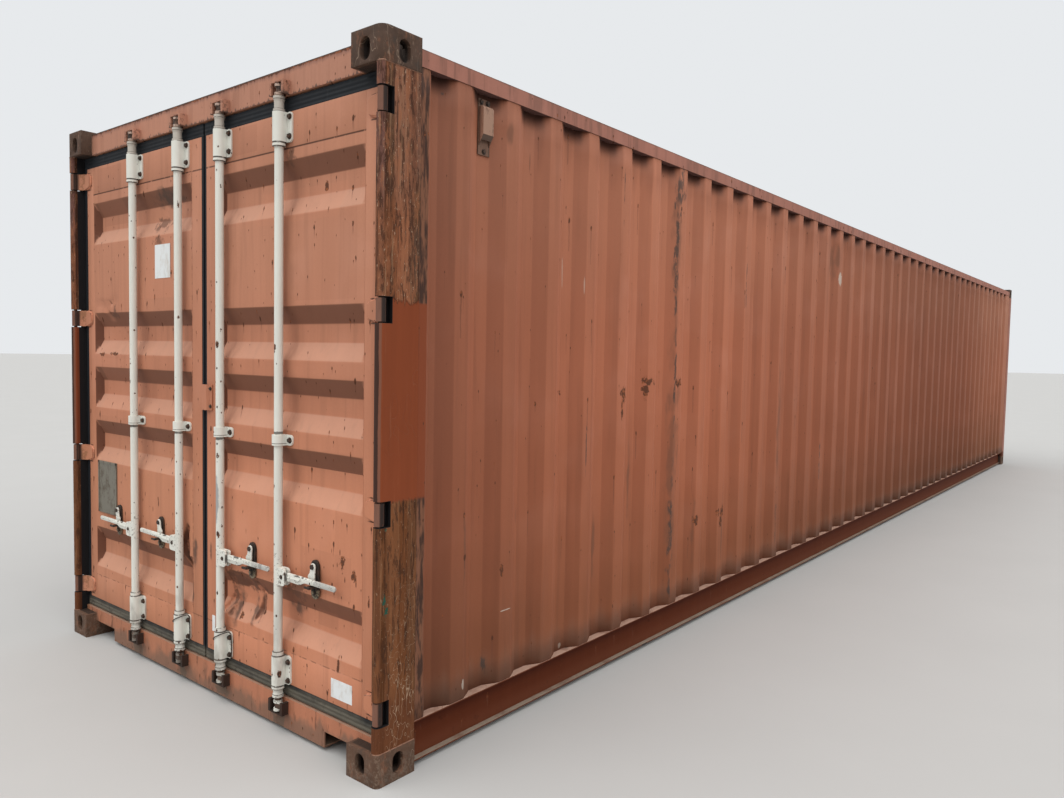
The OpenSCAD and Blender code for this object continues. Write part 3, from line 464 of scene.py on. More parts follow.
def add_plate(mesh, outline, y0, y1, bevel=0.0):
    """An outline in X and Z, thick from y0 to y1, with rounded rims."""
    face = mesh.faces.new([mesh.verts.new((x, y0, z)) for x, z in outline])
    made = bmesh.ops.extrude_face_region(mesh, geom=[face])
    top = [g for g in made["geom"] if isinstance(g, bmesh.types.BMVert)]
    bmesh.ops.translate(mesh, verts=top, vec=(0, y1 - y0, 0))
    caps = [face, next(g for g in made["geom"] if isinstance(g, bmesh.types.BMFace))]
    faces = set(caps) | {f for v in top for f in v.link_faces}
    bmesh.ops.recalc_face_normals(mesh, faces=list(faces))
    if bevel:
        rims = list({e for f in caps for e in f.edges})
        bmesh.ops.bevel(mesh, geom=rims, offset=bevel, segments=2, profile=0.5, affect="EDGES", clamp_overlap=True)


def add_turned(mesh, profile, x, y, steps=32, axis="Z"):
    """A turned shape; the profile is a list of (radius, level) from one end to the other."""
    rings = []
    for radius, level in profile:
        ring = []
        for i in range(steps):
            angle = 2 * math.pi * i / steps
            a, b = radius * math.cos(angle), radius * math.sin(angle)
            ring.append(mesh.verts.new((x + a, y + b, level) if axis == "Z" else (x + a, level, y + b)))
        rings.append(ring)
    faces = [mesh.faces.new(rings[0]), mesh.faces.new(rings[-1])]
    for low, high in zip(rings, rings[1:]):
        for i in range(steps):
            j = (i + 1) % steps
            faces.append(mesh.faces.new((low[i], low[j], high[j], high[i])))
    bmesh.ops.recalc_face_normals(mesh, faces=faces)


def arc(cx, cz, radius, start, end, steps=8):
    """Points on an arc, angles in degrees."""
    angles = [math.radians(start + (end - start) * i / steps) for i in range(steps + 1)]
    return [(cx + radius * math.cos(a), cz + radius * math.sin(a)) for a in angles]


def points_mesh(name, places):
    mesh = bpy.data.meshes.new(name)
    mesh.from_pydata([tuple(p) for p in places], [], [])
    return mesh


def lines_mesh(name, lines):
    """Separate polylines as loose edges."""
    places, edges = [], []
    for line in lines:
        start = len(places)
        places += [tuple(p) for p in line]
        edges += [(start + i, start + i + 1) for i in range(len(line) - 1)]
    mesh = bpy.data.meshes.new(name)
    mesh.from_pydata(places, edges, [])
    return mesh


# Finishes


def weathered(name, base, drip=(8.5, 0.45, 0.0045, 0.10), fade=0.3):
    """Faded paint with rain streaks, rust drips and fine scratches."""
    f = Finish(name, specular=0.22)
    tone = f.noise(1.3, 3, (1, 1, 1), 1.0, 0.6)
    streak = f.noise(1.0, 2, (17, 17, 0.9), 3.0, 0.6)
    fine = f.noise(90, 2, (1, 1, 1), 4.0, 0.7)
    c = f.shade(f.shade(f.shade(base, 0.13, tone), 0.10, streak), 0.05, fine)
    c = f.mix(f.product(f.ramp(f.noise(2.6, 3, (1, 1, 1), 8.0), 0.50, 0.72), fade), c,
        [min(1, v * 1.12 + 0.05) for v in base])
    c = f.mix(f.product(f.ramp(f.noise(1.0, 3, (26, 26, 1.1), 6.0), 0.52, 0.70), 0.28), c, [v * 0.62 for v in base])
    core, run = f.drips(*drip)
    small, short = f.drips(drip[0] * 2.1, drip[1] * 0.8, drip[2] * 0.5, drip[3] * 0.4, 3.7)
    return f, c, dict(spots=f.most(core, small), runs=f.most(run, f.product(short, 0.6)), tone=tone, streak=streak,
        fine=fine)


def weathered_end(f, c, m, rust=None, grime_and_shade=None, pale=None, rough=0.6):
    """Lays rust, grime with any painted shade that the caller gives, and pale marks over weathered paint and sets
    bump and roughness.
    """
    paint = settings("container_paint")
    c = f.mix(f.product(m["runs"], 0.55), c, (0.13, 0.048, 0.027))
    spots = m["spots"] if rust is None else f.most(m["spots"], rust)
    c = f.mix(f.product(spots, 0.9), c, f.mix(f.ramp(f.noise(60, 2, (1, 1, 1), 11.0), 0.50, 0.66), paint.rust,
        paint.fresh_rust))
    if grime_and_shade is not None:
        c = f.mix(f.product(grime_and_shade, 0.8), c, paint.grime_and_shade)
    if pale is not None:
        c = f.mix(f.product(pale, 0.8), c, (0.52, 0.44, 0.37))
    height = f.sum(f.product(m["fine"], 0.25), f.product(m["tone"], 0.3), f.product(spots, -0.6))
    return f.finish(c, f.sum(rough, f.product(m["tone"], 0.12), f.product(spots, 0.25)), height, depth=0.0010)


def inner_paint(f, c, inside):
    """Pale inner paint with scuffs where the mask says so."""
    paint = settings("container_paint")
    worn = f.shade(tuple(paint.inside), 0.12, f.noise(6, 3, (1, 1, 1), 21.0, 0.65))
    worn = f.mix(f.scratches((3, 3, 30), 0.02, 0.5, 14.0), worn, [v * 0.5 for v in paint.inside])
    return f.mix(inside, c, worn)


def door_finish():
    """Leaves, hinges, header, sill and keepers."""
    paint = settings("container_paint")
    base = tuple(paint.door)
    f, c, m = weathered("door_paint_worn", base, (8.5, 0.42, 0.0048, 0.055))
    outside = f.ramp(f.face_y, -0.2, -0.1, 1.0, 0.0)
    beside = f.math("ABSOLUTE", f.x)
    low = f.mix(f.ramp(f.x, -0.05, 0.05), (1.06, 1.11, 1.08), (1.16, 1.17, 1.13))
    c = f.mix(1.0, c, f.steps(f.z, ((0.85, low), (1.35, (0.99, 1.0, 0.99)), (1.95, (1.02, 1.11, 1.15)))), "MULTIPLY")
    # painted shade on what faces down, and painted light with some dust on what faces up; the ends of the recesses
    # that face away from the light are painted dark
    c = f.mix(f.product(f.ramp(f.face_z, -0.40, -0.14, 1.0, 0.0), outside, 0.84), c, [v * 0.35 for v in base])
    c = f.mix(f.product(f.ramp(f.face_z, 0.14, 0.42), outside, 0.35), c, (0.55, 0.34, 0.25))
    ends = f.product(f.ramp(f.face_x, 0.35, 0.60), f.band(beside, 0.09, 1.07, 0.002), f.band(f.z, 0.33, 2.27, 0.002),
        f.ramp(f.y, DOOR_Y + 0.0005, DOOR_Y + 0.002))
    c = f.mix(f.product(ends, 0.85), c, (0.085, 0.027, 0.014))
    # repainted squares, a shade off
    for low, high, amount in (((0.14, 2.30), (0.40, 2.405), -0.10), ((-1.02, 2.12), (-0.76, 2.40), -0.12),
                              ((-0.56, 2.488), (-0.30, 2.56), 0.08), ((0.40, 2.0), (0.92, 2.13), 0.06),
                              ((-0.52, 1.74), (-0.22, 2.03), 0.10), ((0.66, 1.70), (1.02, 2.02), -0.06),
                              ((0.70, 0.60), (1.0, 0.76), -0.07), ((-1.0, 1.16), (-0.70, 1.45), 0.07),
                              ((0.764, 0.460), (0.884, 0.522), -0.11)):
        c = f.mix(f.product(f.patch(low, high), abs(amount) * 2.5), c,
            [v * (1.25 if amount > 0 else 0.72) for v in base])
    # seams of the pressed sheet
    lines = f.most(f.seam(f.z, SHEET_HIGH, 0.0042, 0.36), f.product(f.seam(f.z, SHEET_LOW, 0.0030, 0.5), 0.6),
        f.product(f.seam(beside, SHEET_IN, 0.0030, 0.52), f.band(f.z, SHEET_LOW, SHEET_HIGH, 0.005), 0.6))
    lines = f.product(lines, f.ramp(beside, 1.064, 1.068, 1.0, 0.0))
    # grime beside the rods and round the lock gear
    near = f.marks([((x + side_of(x) * 0.02, 0, 0), (0.070, 0, 0)) for x in RODS.values()], 0.5, 12, 1.0)
    c = f.mix(f.product(near, f.ramp(m["streak"], 0.38, 0.62), 0.32), c, [v * 0.35 for v in base])
    # brown marks: dirt and rust; on the downward slope of the lowest recess of the right leaf and beside its folds
    # they are also painted shade
    brown = f.marks([((-0.395, 0, 2.080), (0.085, 0, 0.040)), ((-0.400, 0, 2.000), (0.045, 0, 0.028)),
        ((-0.855, 0, 1.665), (0.060, 0, 0.018)), ((-0.845, 0, 1.69), (0.015, 0, 0.035)),
                     ((0.67, 0, 0.585), (0.075, 0, 0.05)), ((0.28, 0, 0.54), (0.16, 0, 0.045)), ((0.19, 0, 0.44),
                         (0.020, 0, 0.07)), ((0.395, 0, 0.455), (0.012, 0, 0.07)), ((0.63, 0, 2.245),
                         (0.03, 0, 0.035))], 1.3, 38, 0.6)
    c = f.mix(f.product(brown, 0.70), c, (0.12, 0.058, 0.038))
    # grime marks: dirt and stains; beside the folds of the sheet they are painted shade
    grime_and_shade = f.marks([((-0.34, 0, 2.195), (0.15, 0, 0.050)), ((0.235, 0, 0.42), (0.030, 0, 0.10)),
        ((0.36, 0, 0.43), (0.022, 0, 0.08)), ((-0.16, 0, 0.60), (0.035, 0, 0.08)),
                     ((-0.085, 0, 0.60), (0.030, 0, 0.07)), ((0.64, 0, 0.50), (0.05, 0, 0.04)), ((-0.11, 0, 0.42),
                         (0.02, 0, 0.10)), ((-0.076, 0, 0.631), (0.014, 0, 0.05)), ((0.050, 0, 0.625),
                         (0.013, 0, 0.05))], 0.9, 24, 0.8)
    rust = f.marks([((0.95, 0, 0.735), (0.018, 0, 0.030)), ((1.015, 0, 0.70), (0.014, 0, 0.035)),
        ((-0.985, 0, 1.47), (0.03, 0, 0.010)),
                    ((-0.86, 0, 1.475), (0.05, 0, 0.009)), ((0.80, 0, 2.12), (0.012, 0, 0.02)), ((0.93, 0, 0.35),
                        (0.008, 0, 0.03)), ((1.10, 0, 0.62), (0.006, 0, 0.02)), ((0.275, 0, 0.388),
                        (0.014, 0, 0.016)),
                    ((0.407, 0, 0.433), (0.010, 0, 0.016)), ((0.218, 0, 0.269), (0.014, 0, 0.012))], 1.3, 44, 0.35)
    chips = f.marks([((x, 0, z), (0.0035, 0, 0.016)) for x,
        z in ((0.321, 0.759), (0.920, 0.724), (0.965, 0.676), (1.029, 0.666), (0.887, 0.767), (0.936, 0.771),
        (-0.543, 0.807), (-0.468, 0.744), (-0.413, 0.780))], 1.2, 60, 0.5, (1, 1, 0.4))
    # header: rusty upper edge and the old edge of the gasket; sill: mud and rust runs
    beam = f.product(f.ramp(f.y, HEADER_Y - 0.0005, HEADER_Y + 0.003, 1.0, 0.0),
        f.most(f.ramp(f.z, 2.450, 2.455), f.ramp(f.z, 0.150, 0.155, 1.0, 0.0)))
    header, sill = f.product(beam, f.ramp(f.z, 2.0, 2.1)), f.ramp(f.z, 0.140, 0.150, 1.0, 0.0)
    ragged = f.math("SUBTRACT", f.noise(1.0, 3, (60, 60, 6), 5.0, 0.7), 0.5)
    c = f.mix(header, c, (0.95, 1.03, 1.13), "MULTIPLY")
    c = f.mix(f.product(header, f.ramp(m["streak"], 0.54, 0.64), 0.22), c, [v * 0.45 for v in base])
    shadow = f.product(header, f.ramp(f.sum(f.z, f.product(ragged, 0.04)), 2.552, 2.570), 0.50)
    c = f.mix(shadow, c, (0.12, 0.062, 0.058))
    top = f.ramp(f.sum(f.z, f.product(ragged, 0.030)), 2.566, 2.571)
    under = f.ramp(f.sum(f.z, f.product(ragged, -0.070)), 2.474, 2.481, 1.0, 0.0)
    mud = f.ramp(f.sum(f.z, f.product(f.noise(14, 3, (1, 1, 0.6), 9.0), -0.20)), -0.050, 0.010, 1.0, 0.0)
    near = f.marks([((x - 0.015, 0, 0.048), (0.075, 0, 0.060)) for x in RODS.values()], 1.1, 18, 0.6)
    c = f.mix(sill, c, (0.82, 0.80, 0.80), "MULTIPLY")
    c = f.mix(f.product(sill, f.most(f.product(mud, 0.7), near), 0.9), c, (0.125, 0.094, 0.070))
    stain = f.product(sill, f.ramp(f.noise(1.0, 3, (30, 30, 6), 12.0, 0.7), 0.58, 0.66))
    c = f.mix(f.product(stain, 0.6), c, (0.115, 0.050, 0.030))
    c = f.mix(f.product(f.ramp(f.face_z, 0.5, 0.9), f.ramp(f.z, 0.5, 0.6, 1.0, 0.0), 0.6), c,
        [v * 0.8 for v in paint.dust])
    c = f.mix(f.product(lines, 0.85), c, (0.075, 0.032, 0.02))
    # bare knuckles, and dirty keepers on the sill
    c = f.mix(f.product(f.ramp(f.sum(beside, f.product(ragged, 0.02)), 1.172, 1.180), 0.92), c,
        f.shade((0.150, 0.072, 0.050), 0.35, f.noise(40, 3, (1, 1, 0.3), 17.0, 0.7)))
    shaded = f.product(f.ramp(beside, 1.176, 1.180), f.ramp(f.face_x, 0.72, 0.95))
    c = f.mix(f.product(shaded, 0.9), c, (0.012, 0.009, 0.008))
    crank = f.product(f.band(beside, 1.142, 1.176, 0.003), f.ramp(f.noise(30, 3, (1, 1, 1), 27.0, 0.7), 0.46, 0.58),
        0.6)
    c = f.mix(crank, c, (0.21, 0.10, 0.045))
    # painted shadow lines along the top and bottom edges of the hinge straps and beside their inner ends
    strap_shade = f.marks([((sign * x, 0, z + dz), (wide, 0, high)) for z in HINGES for sign in (-1, 1) for x, dz, wide,
        high in ((1.116, -0.0435, 0.032, 0.0045), (1.112, 0.0415, 0.026, 0.0030), (1.0830, -0.004, 0.0022, 0.028))],
        0.6, 50, 0.6)
    c = f.mix(f.product(strap_shade, f.ramp(beside, 1.08, 1.081), 0.85), c, (0.050, 0.024, 0.016))
    keeper = f.product(f.ramp(f.y, HEADER_Y - 0.0045, HEADER_Y - 0.002, 1.0, 0.0),
        f.most(f.ramp(f.z, 2.46, 2.47), sill))
    c = f.mix(f.product(keeper, f.sum(f.product(sill, 0.95),
        f.product(f.ramp(f.noise(70, 3, (1, 1, 1), 19.0, 0.7), 0.50, 0.60), f.sum(0.5, f.product(sill, -0.5))))), c,
        f.mix(sill, (0.060, 0.036, 0.028), (0.022, 0.015, 0.012)))
    c = inner_paint(f, c, f.product(f.ramp(f.face_y, 0.2, 0.6), f.ramp(f.y, DOOR_Y + 0.0002, DOOR_Y + 0.0018)))
    return weathered_end(f, c, m, f.most(rust, chips, f.product(beam, top)),
        f.most(f.product(grime_and_shade, 0.9), f.product(header, under)))


def side_finish():
    paint = settings("container_paint")
    base = tuple(paint.side)
    f, c, m = weathered("side_paint_worn", base, (5.2, 0.34, 0.0050, 0.26), 0.22)
    right = f.ramp(f.x, 0.0, 0.1)
    # painted light and shade: darker at both ends and low down, pinker above, and a greyer haze tint near the front
    # end
    along = [(-6.0, 0.62), (-5.5, 0.84), (-4.9, 1.01), (-4.3, 1.14), (-3.6, 1.14), (-2.2, 0.98), (-1.2, 0.92),
        (0.0, 0.81), (1.5, 0.71), (3.0, 0.73), (4.5, 0.90), (5.6, 0.96)]
    c = f.mix(1.0, c, f.profile(f.y, [(at, (v, v * (1.10 if at > 4 else 1.0), v * (1.16 if at > 4 else 1.0))) for at,
        v in along]), "MULTIPLY")
    c = f.mix(1.0, c, f.profile(f.z, ((0.35, (0.69, 0.67, 0.57)), (0.60, (0.82, 0.79, 0.71)),
        (0.90, (0.95, 0.90, 0.83)), (1.5, (1.06, 1.04, 1.02)), (2.3, (1.14, 1.26, 1.33)))), "MULTIPLY")
    # painted light and shade on the slopes of the corrugations: lighter where they face +Y, darker where they face -Y
    c = f.mix(f.ramp(f.face_y, 0.15, 0.38), c, (1.19, 1.19, 1.20), "MULTIPLY")
    c = f.mix(f.ramp(f.face_y, -0.38, -0.15, 1.0, 0.0), c, (0.83, 0.81, 0.80), "MULTIPLY")
    burnt = f.marks([((0, -4.055, 2.38), (0, 0.046, 0.12)), ((0, -4.073, 2.02), (0, 0.015, 0.33)),
        ((0, -4.062, 0.56), (0, 0.022, 0.34)), ((0, -2.631, 0.42), (0, 0.012, 0.21)),
                     ((0, -1.828, 0.75), (0, 0.012, 0.16)), ((0, -5.514, 0.272),
                         (0, 0.016, 0.035)), ((0, -5.784, 2.444), (0, 0.008, 0.008)), ((0, -4.60, 2.30),
                         (0, 0.005, 0.16)),
                     ((0, -3.21, 1.95), (0, 0.005, 0.20)), ((0, -4.87, 1.10), (0, 0.005, 0.15)), ((0, -4.062, 1.42),
                         (0, 0.010, 0.30))], 1.5, 34, 0.6, (1, 1, 0.40))
    burnt = f.product(burnt, f.ramp(f.noise(70, 2, (1, 1, 0.4), 23.0, 0.7), 0.36, 0.50))
    brown = f.marks([((0, -4.060, 1.05), (0, 0.050, 0.75)), ((0, -4.065, 2.1), (0, 0.040, 0.40)),
        ((0, -1.617, 2.25), (0, 0.12, 0.145)), ((0, -5.515, 0.24), (0, 0.024, 0.060)),
        ((0, -5.33, 0.86), (0, 0.022, 0.09)),
                     ((0, -5.66, 0.70), (0, 0.012, 0.16)), ((0, -2.64, 1.0), (0, 0.030, 0.6)), ((0, -5.27, 2.29),
                         (0, 0.006, 0.055)), ((0, -5.44, 2.37), (0, 0.020, 0.050)), ((0, -4.45, 0.85),
                         (0, 0.018, 0.28)),
                     ((0, -4.75, 0.62), (0, 0.016, 0.16)), ((0, -3.80, 0.55), (0, 0.016, 0.22)), ((0, -3.45, 0.46),
                         (0, 0.014, 0.20))], 1.4, 22, 0.9, (1, 1, 0.35))
    c = f.mix(f.product(brown, right, 0.5), c, (0.115, 0.055, 0.034))
    rust = f.marks([((0, -4.33, 1.385), (0, 0.050, 0.022)), ((0, -4.35, 1.34), (0, 0.020, 0.035)),
        ((0, -4.03, 1.37), (0, 0.040, 0.026)), ((0, -4.568, 1.32), (0, 0.026, 0.045)),
        ((0, -4.575, 1.24), (0, 0.010, 0.06)),
                    ((0, -5.036, 1.35), (0, 0.012, 0.014)), ((0, -3.78, 0.60), (0, 0.025, 0.036)), ((0, -3.452, 0.60),
                        (0, 0.055, 0.030)), ((0, -3.47, 0.56), (0, 0.020, 0.05)), ((0, -5.447, 0.64),
                        (0, 0.010, 0.035))], 1.4, 40, 0.4)
    pale = f.marks([((0, -1.522, 2.128), (0, 0.040, 0.050)), ((0, -5.663, 0.240), (0, 0.009, 0.022)),
        ((0, -4.998, 0.203), (0, 0.010, 0.013)), ((0, -5.418, 0.473), (0, 0.030, 0.0025))], 0.5, 50, 0.15)
    thin = f.marks([((0, -4.907, 1.832), (0, 0.003, 0.055)), ((0, -5.03, 1.86), (0, 0.004, 0.09))], 0.9, 20, 0.5)
    # dark run-off and shade under the top rail
    top = f.product(f.ramp(f.sum(f.z, f.product(m["streak"], 0.42)), 2.50, 2.72), 0.32)
    c = f.mix(top, c, [v * 0.35 for v in base])
    deep = f.product(f.ramp(f.z, 2.42, 2.485), f.ramp(f.math("ABSOLUTE", f.x), 1.190, 1.204, 1.0, 0.0), 0.75)
    c = f.mix(deep, c, (0.050, 0.024, 0.020))
    foot = f.ramp(f.sum(f.z, f.product(m["streak"], -0.18)), 0.10, 0.24, 1.0, 0.0)
    c = f.mix(f.product(foot, 0.30), c, [v * 0.45 for v in paint.dust])
    # the scraped paint of the post reaches the first flat
    strip = f.ramp(f.sum(f.y, f.product(f.math("SUBTRACT", f.noise(1.0, 2, (60, 60, 9), 8.0, 0.7), 0.5), 0.010)),
        FIRST_FLAT, FIRST_FLAT + 0.003, 1.0, 0.0)
    worn = f.most(f.ramp(f.z, FRESH_HIGH, FRESH_HIGH + 0.010), f.ramp(f.z, FRESH_LOW, FRESH_LOW + 0.015, 1.0, 0.0))
    flaked = f.mix(f.ramp(f.noise(1.0, 3, (46, 46, 9), 5.0, 0.7), 0.40, 0.60), (0.050, 0.022, 0.014),
        (0.190, 0.078, 0.042))
    c = f.mix(strip, c, f.mix(worn, tuple(paint.post), flaked))
    c = inner_paint(f, c, f.ramp(f.product(f.face_x, f.x), -0.4, -0.2, 1.0, 0.0))
    return weathered_end(f, c, m, f.product(rust, right), f.product(burnt, right),
        f.product(f.most(pale, f.product(thin, 0.5)), right), 0.58)


def rail_finish(name, specular):
    """Rails, roof, base and front end."""
    paint = settings("container_paint")
    f, c, m = weathered(name, tuple(paint.rail), (7.0, 0.5, 0.006, 0.06))
    f.feed(f.shader.inputs["Specular IOR Level"], specular)
    dark = f.ramp(f.noise(1.0, 3, (22, 22, 2.5), 15.0, 0.65), 0.48, 0.66)
    c = f.mix(f.product(dark, 0.40), c, (0.105, 0.055, 0.04))
    # painted shade on the undersides of the top side rails; the front edge of the roof is dark as well
    under = f.product(f.ramp(f.face_z, -0.9, -0.6, 1.0, 0.0), f.ramp(f.z, 2.49, 2.50),
        f.ramp(f.math("ABSOLUTE", f.x), 1.10, 1.12))
    front = f.product(f.ramp(f.z, 2.572, 2.574), f.ramp(f.face_y, -0.6, -0.3, 1.0, 0.0))
    c = f.mix(f.most(under, front), c, (0.050, 0.030, 0.030))
    c = f.mix(f.product(f.ramp(f.sum(f.z, f.product(f.noise(9, 3, (1, 1, 1), 3.0), 0.012)), 2.556, 2.564),
        f.ramp(f.face_z, 0.2, 0.6, 1.0, 0.0), 0.6), c, (0.075, 0.05, 0.04))
    # base: dark red with black chips and dusty ledges
    base = f.ramp(f.z, 0.188, 0.192, 1.0, 0.0)
    red = f.shade(f.shade(tuple(paint.base), 0.35, m["streak"]), 0.18, m["fine"])
    red = f.mix(f.product(f.ramp(m["tone"], 0.45, 0.62), 0.35), red, [v * 1.5 for v in paint.base])
    red = f.mix(f.spots(15, 0.34, 0.40, (1, 1, 1.2), 2.0, 1.4), red, (0.018, 0.012, 0.010))
    # the web of the bottom rail is painted darker towards the top: painted shade under the upper flange
    web = f.product(f.ramp(f.math("ABSOLUTE", f.x), 1.178, 1.182, 1.0, 0.0),
        f.ramp(f.math("ABSOLUTE", f.y), 5.925, 5.93, 1.0, 0.0))
    red = f.mix(f.product(web, 0.80), red, f.steps(f.z,
        ((0.035, (0.120, 0.034, 0.016)), (0.10, (0.090, 0.019, 0.006)), (0.170, (0.050, 0.006, 0.002)))))
    c = f.mix(base, c, red)
    ledge = f.product(base, f.ramp(f.face_z, 0.6, 0.9))
    c = f.mix(f.product(ledge, f.ramp(f.noise(13, 3, (1, 1, 1), 5.0), 0.25, 0.55, 0.50, 1.0)), c,
        f.mix(f.ramp(f.z, 0.10, 0.12), (0.27, 0.210, 0.160), (0.395, 0.250, 0.190)))
    c = f.mix(f.product(f.ramp(f.face_z, 0.6, 0.9), f.ramp(f.z, 2.4, 2.5), 0.35), c, [v * 1.1 for v in paint.dust])
    inner = f.most(f.product(f.ramp(f.face_z, -0.9, -0.6, 1.0, 0.0), f.ramp(f.z, 2.50, 2.53)),
                   f.product(f.ramp(f.product(f.face_y, f.y), -0.6, -0.3, 1.0, 0.0),
                       f.ramp(f.math("ABSOLUTE", f.y), 6.02, 6.03), f.ramp(f.z, 0.19, 0.20)))
    c = inner_paint(f, c, inner)
    m["spots"] = f.product(m["spots"], f.sum(1.0, f.product(base, -0.7)))
    return weathered_end(f, c, m, None, None, None, 0.62)


def post_colours(f):
    """Post colours, wear and relief: flaked upright bands at top and foot, smooth paint between."""
    paint = settings("container_paint")
    behind = f.math("MULTIPLY", f.math("ABSOLUTE", f.y), -1.0)
    behind = f.sum(behind, f.product(f.math("SUBTRACT", f.noise(1.0, 5, (1, 1, 6), 31.0, 0.7), 0.5),
        f.ramp(behind, -6.070, -6.040, 0.006, 0.034)))
    wide = f.noise(1.0, 5, (24, 24, 4.0), 2.0, 0.7)
    flake = f.noise(1.0, 6, (46, 46, 11), 5.0, 0.74)
    streak = f.noise(1.0, 6, (80, 80, 3.2), 7.0, 0.66)
    grit = f.noise(1.0, 5, (150, 150, 60), 6.0, 0.7)
    def bands(colours):
        """Upright bands from the nose to the rear edge, blended raggedly."""
        made = colours[0][1]
        for edge, tint in colours[1:]:
            made = f.mix(f.ramp(behind, edge - 0.003, edge + 0.003), made, tint)
        return made
    # bands by distance along the post, from the nose backwards
    high = bands([(0, (0.142, 0.064, 0.049)), (-6.079, (0.066, 0.024, 0.011)), (-6.060, (0.114, 0.052, 0.027)),
        (-6.040, (0.236, 0.101, 0.058)), (-5.982, (0.188, 0.076, 0.042)),
                  (-5.960, (0.148, 0.058, 0.032)), (-5.940, (0.181, 0.083, 0.052)), (-5.920,
                      (0.132, 0.057, 0.037)), (-5.900, (0.203, 0.083, 0.053))])
    low = bands([(0, (0.196, 0.075, 0.038)), (-6.079, (0.137, 0.046, 0.019)), (-6.060, (0.166, 0.058, 0.025)),
        (-6.040, (0.184, 0.063, 0.027)), (-6.020, (0.237, 0.084, 0.039)), (-6.000, (0.263, 0.099, 0.048)),
                 (-5.963, (0.157, 0.063, 0.032)), (-5.940, (0.113, 0.049, 0.023)), (-5.897, (0.105, 0.037, 0.015))])
    old = f.mix(f.ramp(f.sum(f.z, f.product(f.math("SUBTRACT", wide, 0.5), 0.4)), 1.95, 2.15), low, high)
    bare = f.marks([((1.219, -5.918, 1.825), (0, 0.036, 0.150)), ((1.219, -5.905, 2.10), (0, 0.016, 0.28))], 0.9, 30,
        0.35, (1, 1, 0.3))
    old = f.mix(f.product(bare, f.ramp(f.x, 0.0, 0.1), 0.75), old, (0.078, 0.042, 0.028))
    old = f.mix(f.product(f.ramp(flake, 0.53, 0.58), 0.55), old, (0.300, 0.112, 0.052))
    old = f.mix(f.product(f.ramp(flake, 0.475, 0.42), 0.80), old, (0.055, 0.022, 0.012))
    old = f.mix(f.product(f.ramp(streak, 0.56, 0.62), 0.50), old, (0.290, 0.160, 0.090))
    old = f.mix(f.product(f.ramp(streak, 0.44, 0.39), 0.70), old, (0.050, 0.020, 0.012))
    old = f.mix(f.product(f.ramp(grit, 0.61, 0.67), 0.75), old, (0.46, 0.31, 0.21))
    fresh = f.shade(f.shade(tuple(paint.post), 0.14, f.noise(4, 5, (1, 1, 0.3), 1.0, 0.6)), 0.12,
        f.noise(1.0, 4, (40, 40, 1.5), 12.0))
    fresh = f.mix(f.product(f.ramp(streak, 0.60, 0.70), 0.30), fresh, (0.300, 0.110, 0.055))
    fresh = f.mix(f.ramp(behind, -6.085, -6.083, 0.8, 0.0), fresh, (0.190, 0.085, 0.055))
    fresh = f.mix(f.ramp(behind, -6.0915, -6.090, 0.9, 0.0), fresh, (0.035, 0.018, 0.014))
    scraped = bands([(0, (0.129, 0.048, 0.021)), (-6.079, (0.086, 0.029, 0.009)), (-6.060, (0.140, 0.051, 0.020)),
        (-6.042, (0.177, 0.066, 0.026)), (-6.000, (0.138, 0.047, 0.016)),
                     (-5.960, (0.128, 0.050, 0.021)), (-5.920, (0.100, 0.042, 0.016)), (-5.900,
                         (0.088, 0.034, 0.012))])
    scraped = f.mix(f.product(f.ramp(wide, 0.53, 0.62), 0.50), scraped, (0.215, 0.078, 0.030))
    scraped = f.mix(f.product(f.ramp(flake, 0.465, 0.41), 0.75), scraped, (0.045, 0.018, 0.009))
    scraped = f.mix(f.product(f.ramp(streak, 0.56, 0.62), 0.55), scraped, (0.250, 0.118, 0.056))
    scraped = f.mix(f.product(f.ramp(streak, 0.43, 0.38), 0.70), scraped, (0.040, 0.016, 0.008))
    scraped = f.mix(f.product(f.ramp(grit, 0.62, 0.68), 0.60), scraped, (0.42, 0.28, 0.18))
    edge = f.product(f.math("SUBTRACT", flake, 0.5), 0.12)
    upper = f.ramp(f.sum(f.z, edge), FRESH_HIGH, FRESH_HIGH + 0.010)
    foot = f.ramp(f.sum(f.z, f.product(edge, 0.5)), FRESH_LOW, FRESH_LOW + 0.015, 1.0, 0.0)
    lowest = f.ramp(f.sum(f.z, f.product(edge, 2.5)), 0.26, 0.34, 1.0, 0.0)
    c = f.mix(upper, fresh, old)
    c = f.mix(foot, c, scraped)
    c = f.mix(f.product(lowest, 0.65), c, f.shade((0.118, 0.038, 0.015), 0.25, wide))
    scribble = f.most(f.scratches((16, 16, 11), 0.007, 0.50, 6.0), f.scratches((30, 30, 8), 0.009, 0.54, 16.0),
        f.product(f.scratches((40, 40, 22), 0.014, 0.38, 26.0), f.ramp(f.z, 0.7, 0.8, 1.0, 0.0)))
    c = f.mix(f.product(scribble, f.ramp(f.z, 0.1, 0.78, 1.0, 0.15), f.ramp(f.z, 0.98, 1.0, 1.0, 0.35),
        f.ramp(behind, -6.055, -6.045), 0.85), c, (0.47, 0.33, 0.22))
    worn = f.math("MAXIMUM", upper, foot)
    height = f.sum(f.product(flake, worn, 1.3), f.product(grit, worn, 0.5), f.product(wide, worn, 0.5),
        f.product(grit, 0.08), f.product(scribble, -0.3))
    return c, worn, height


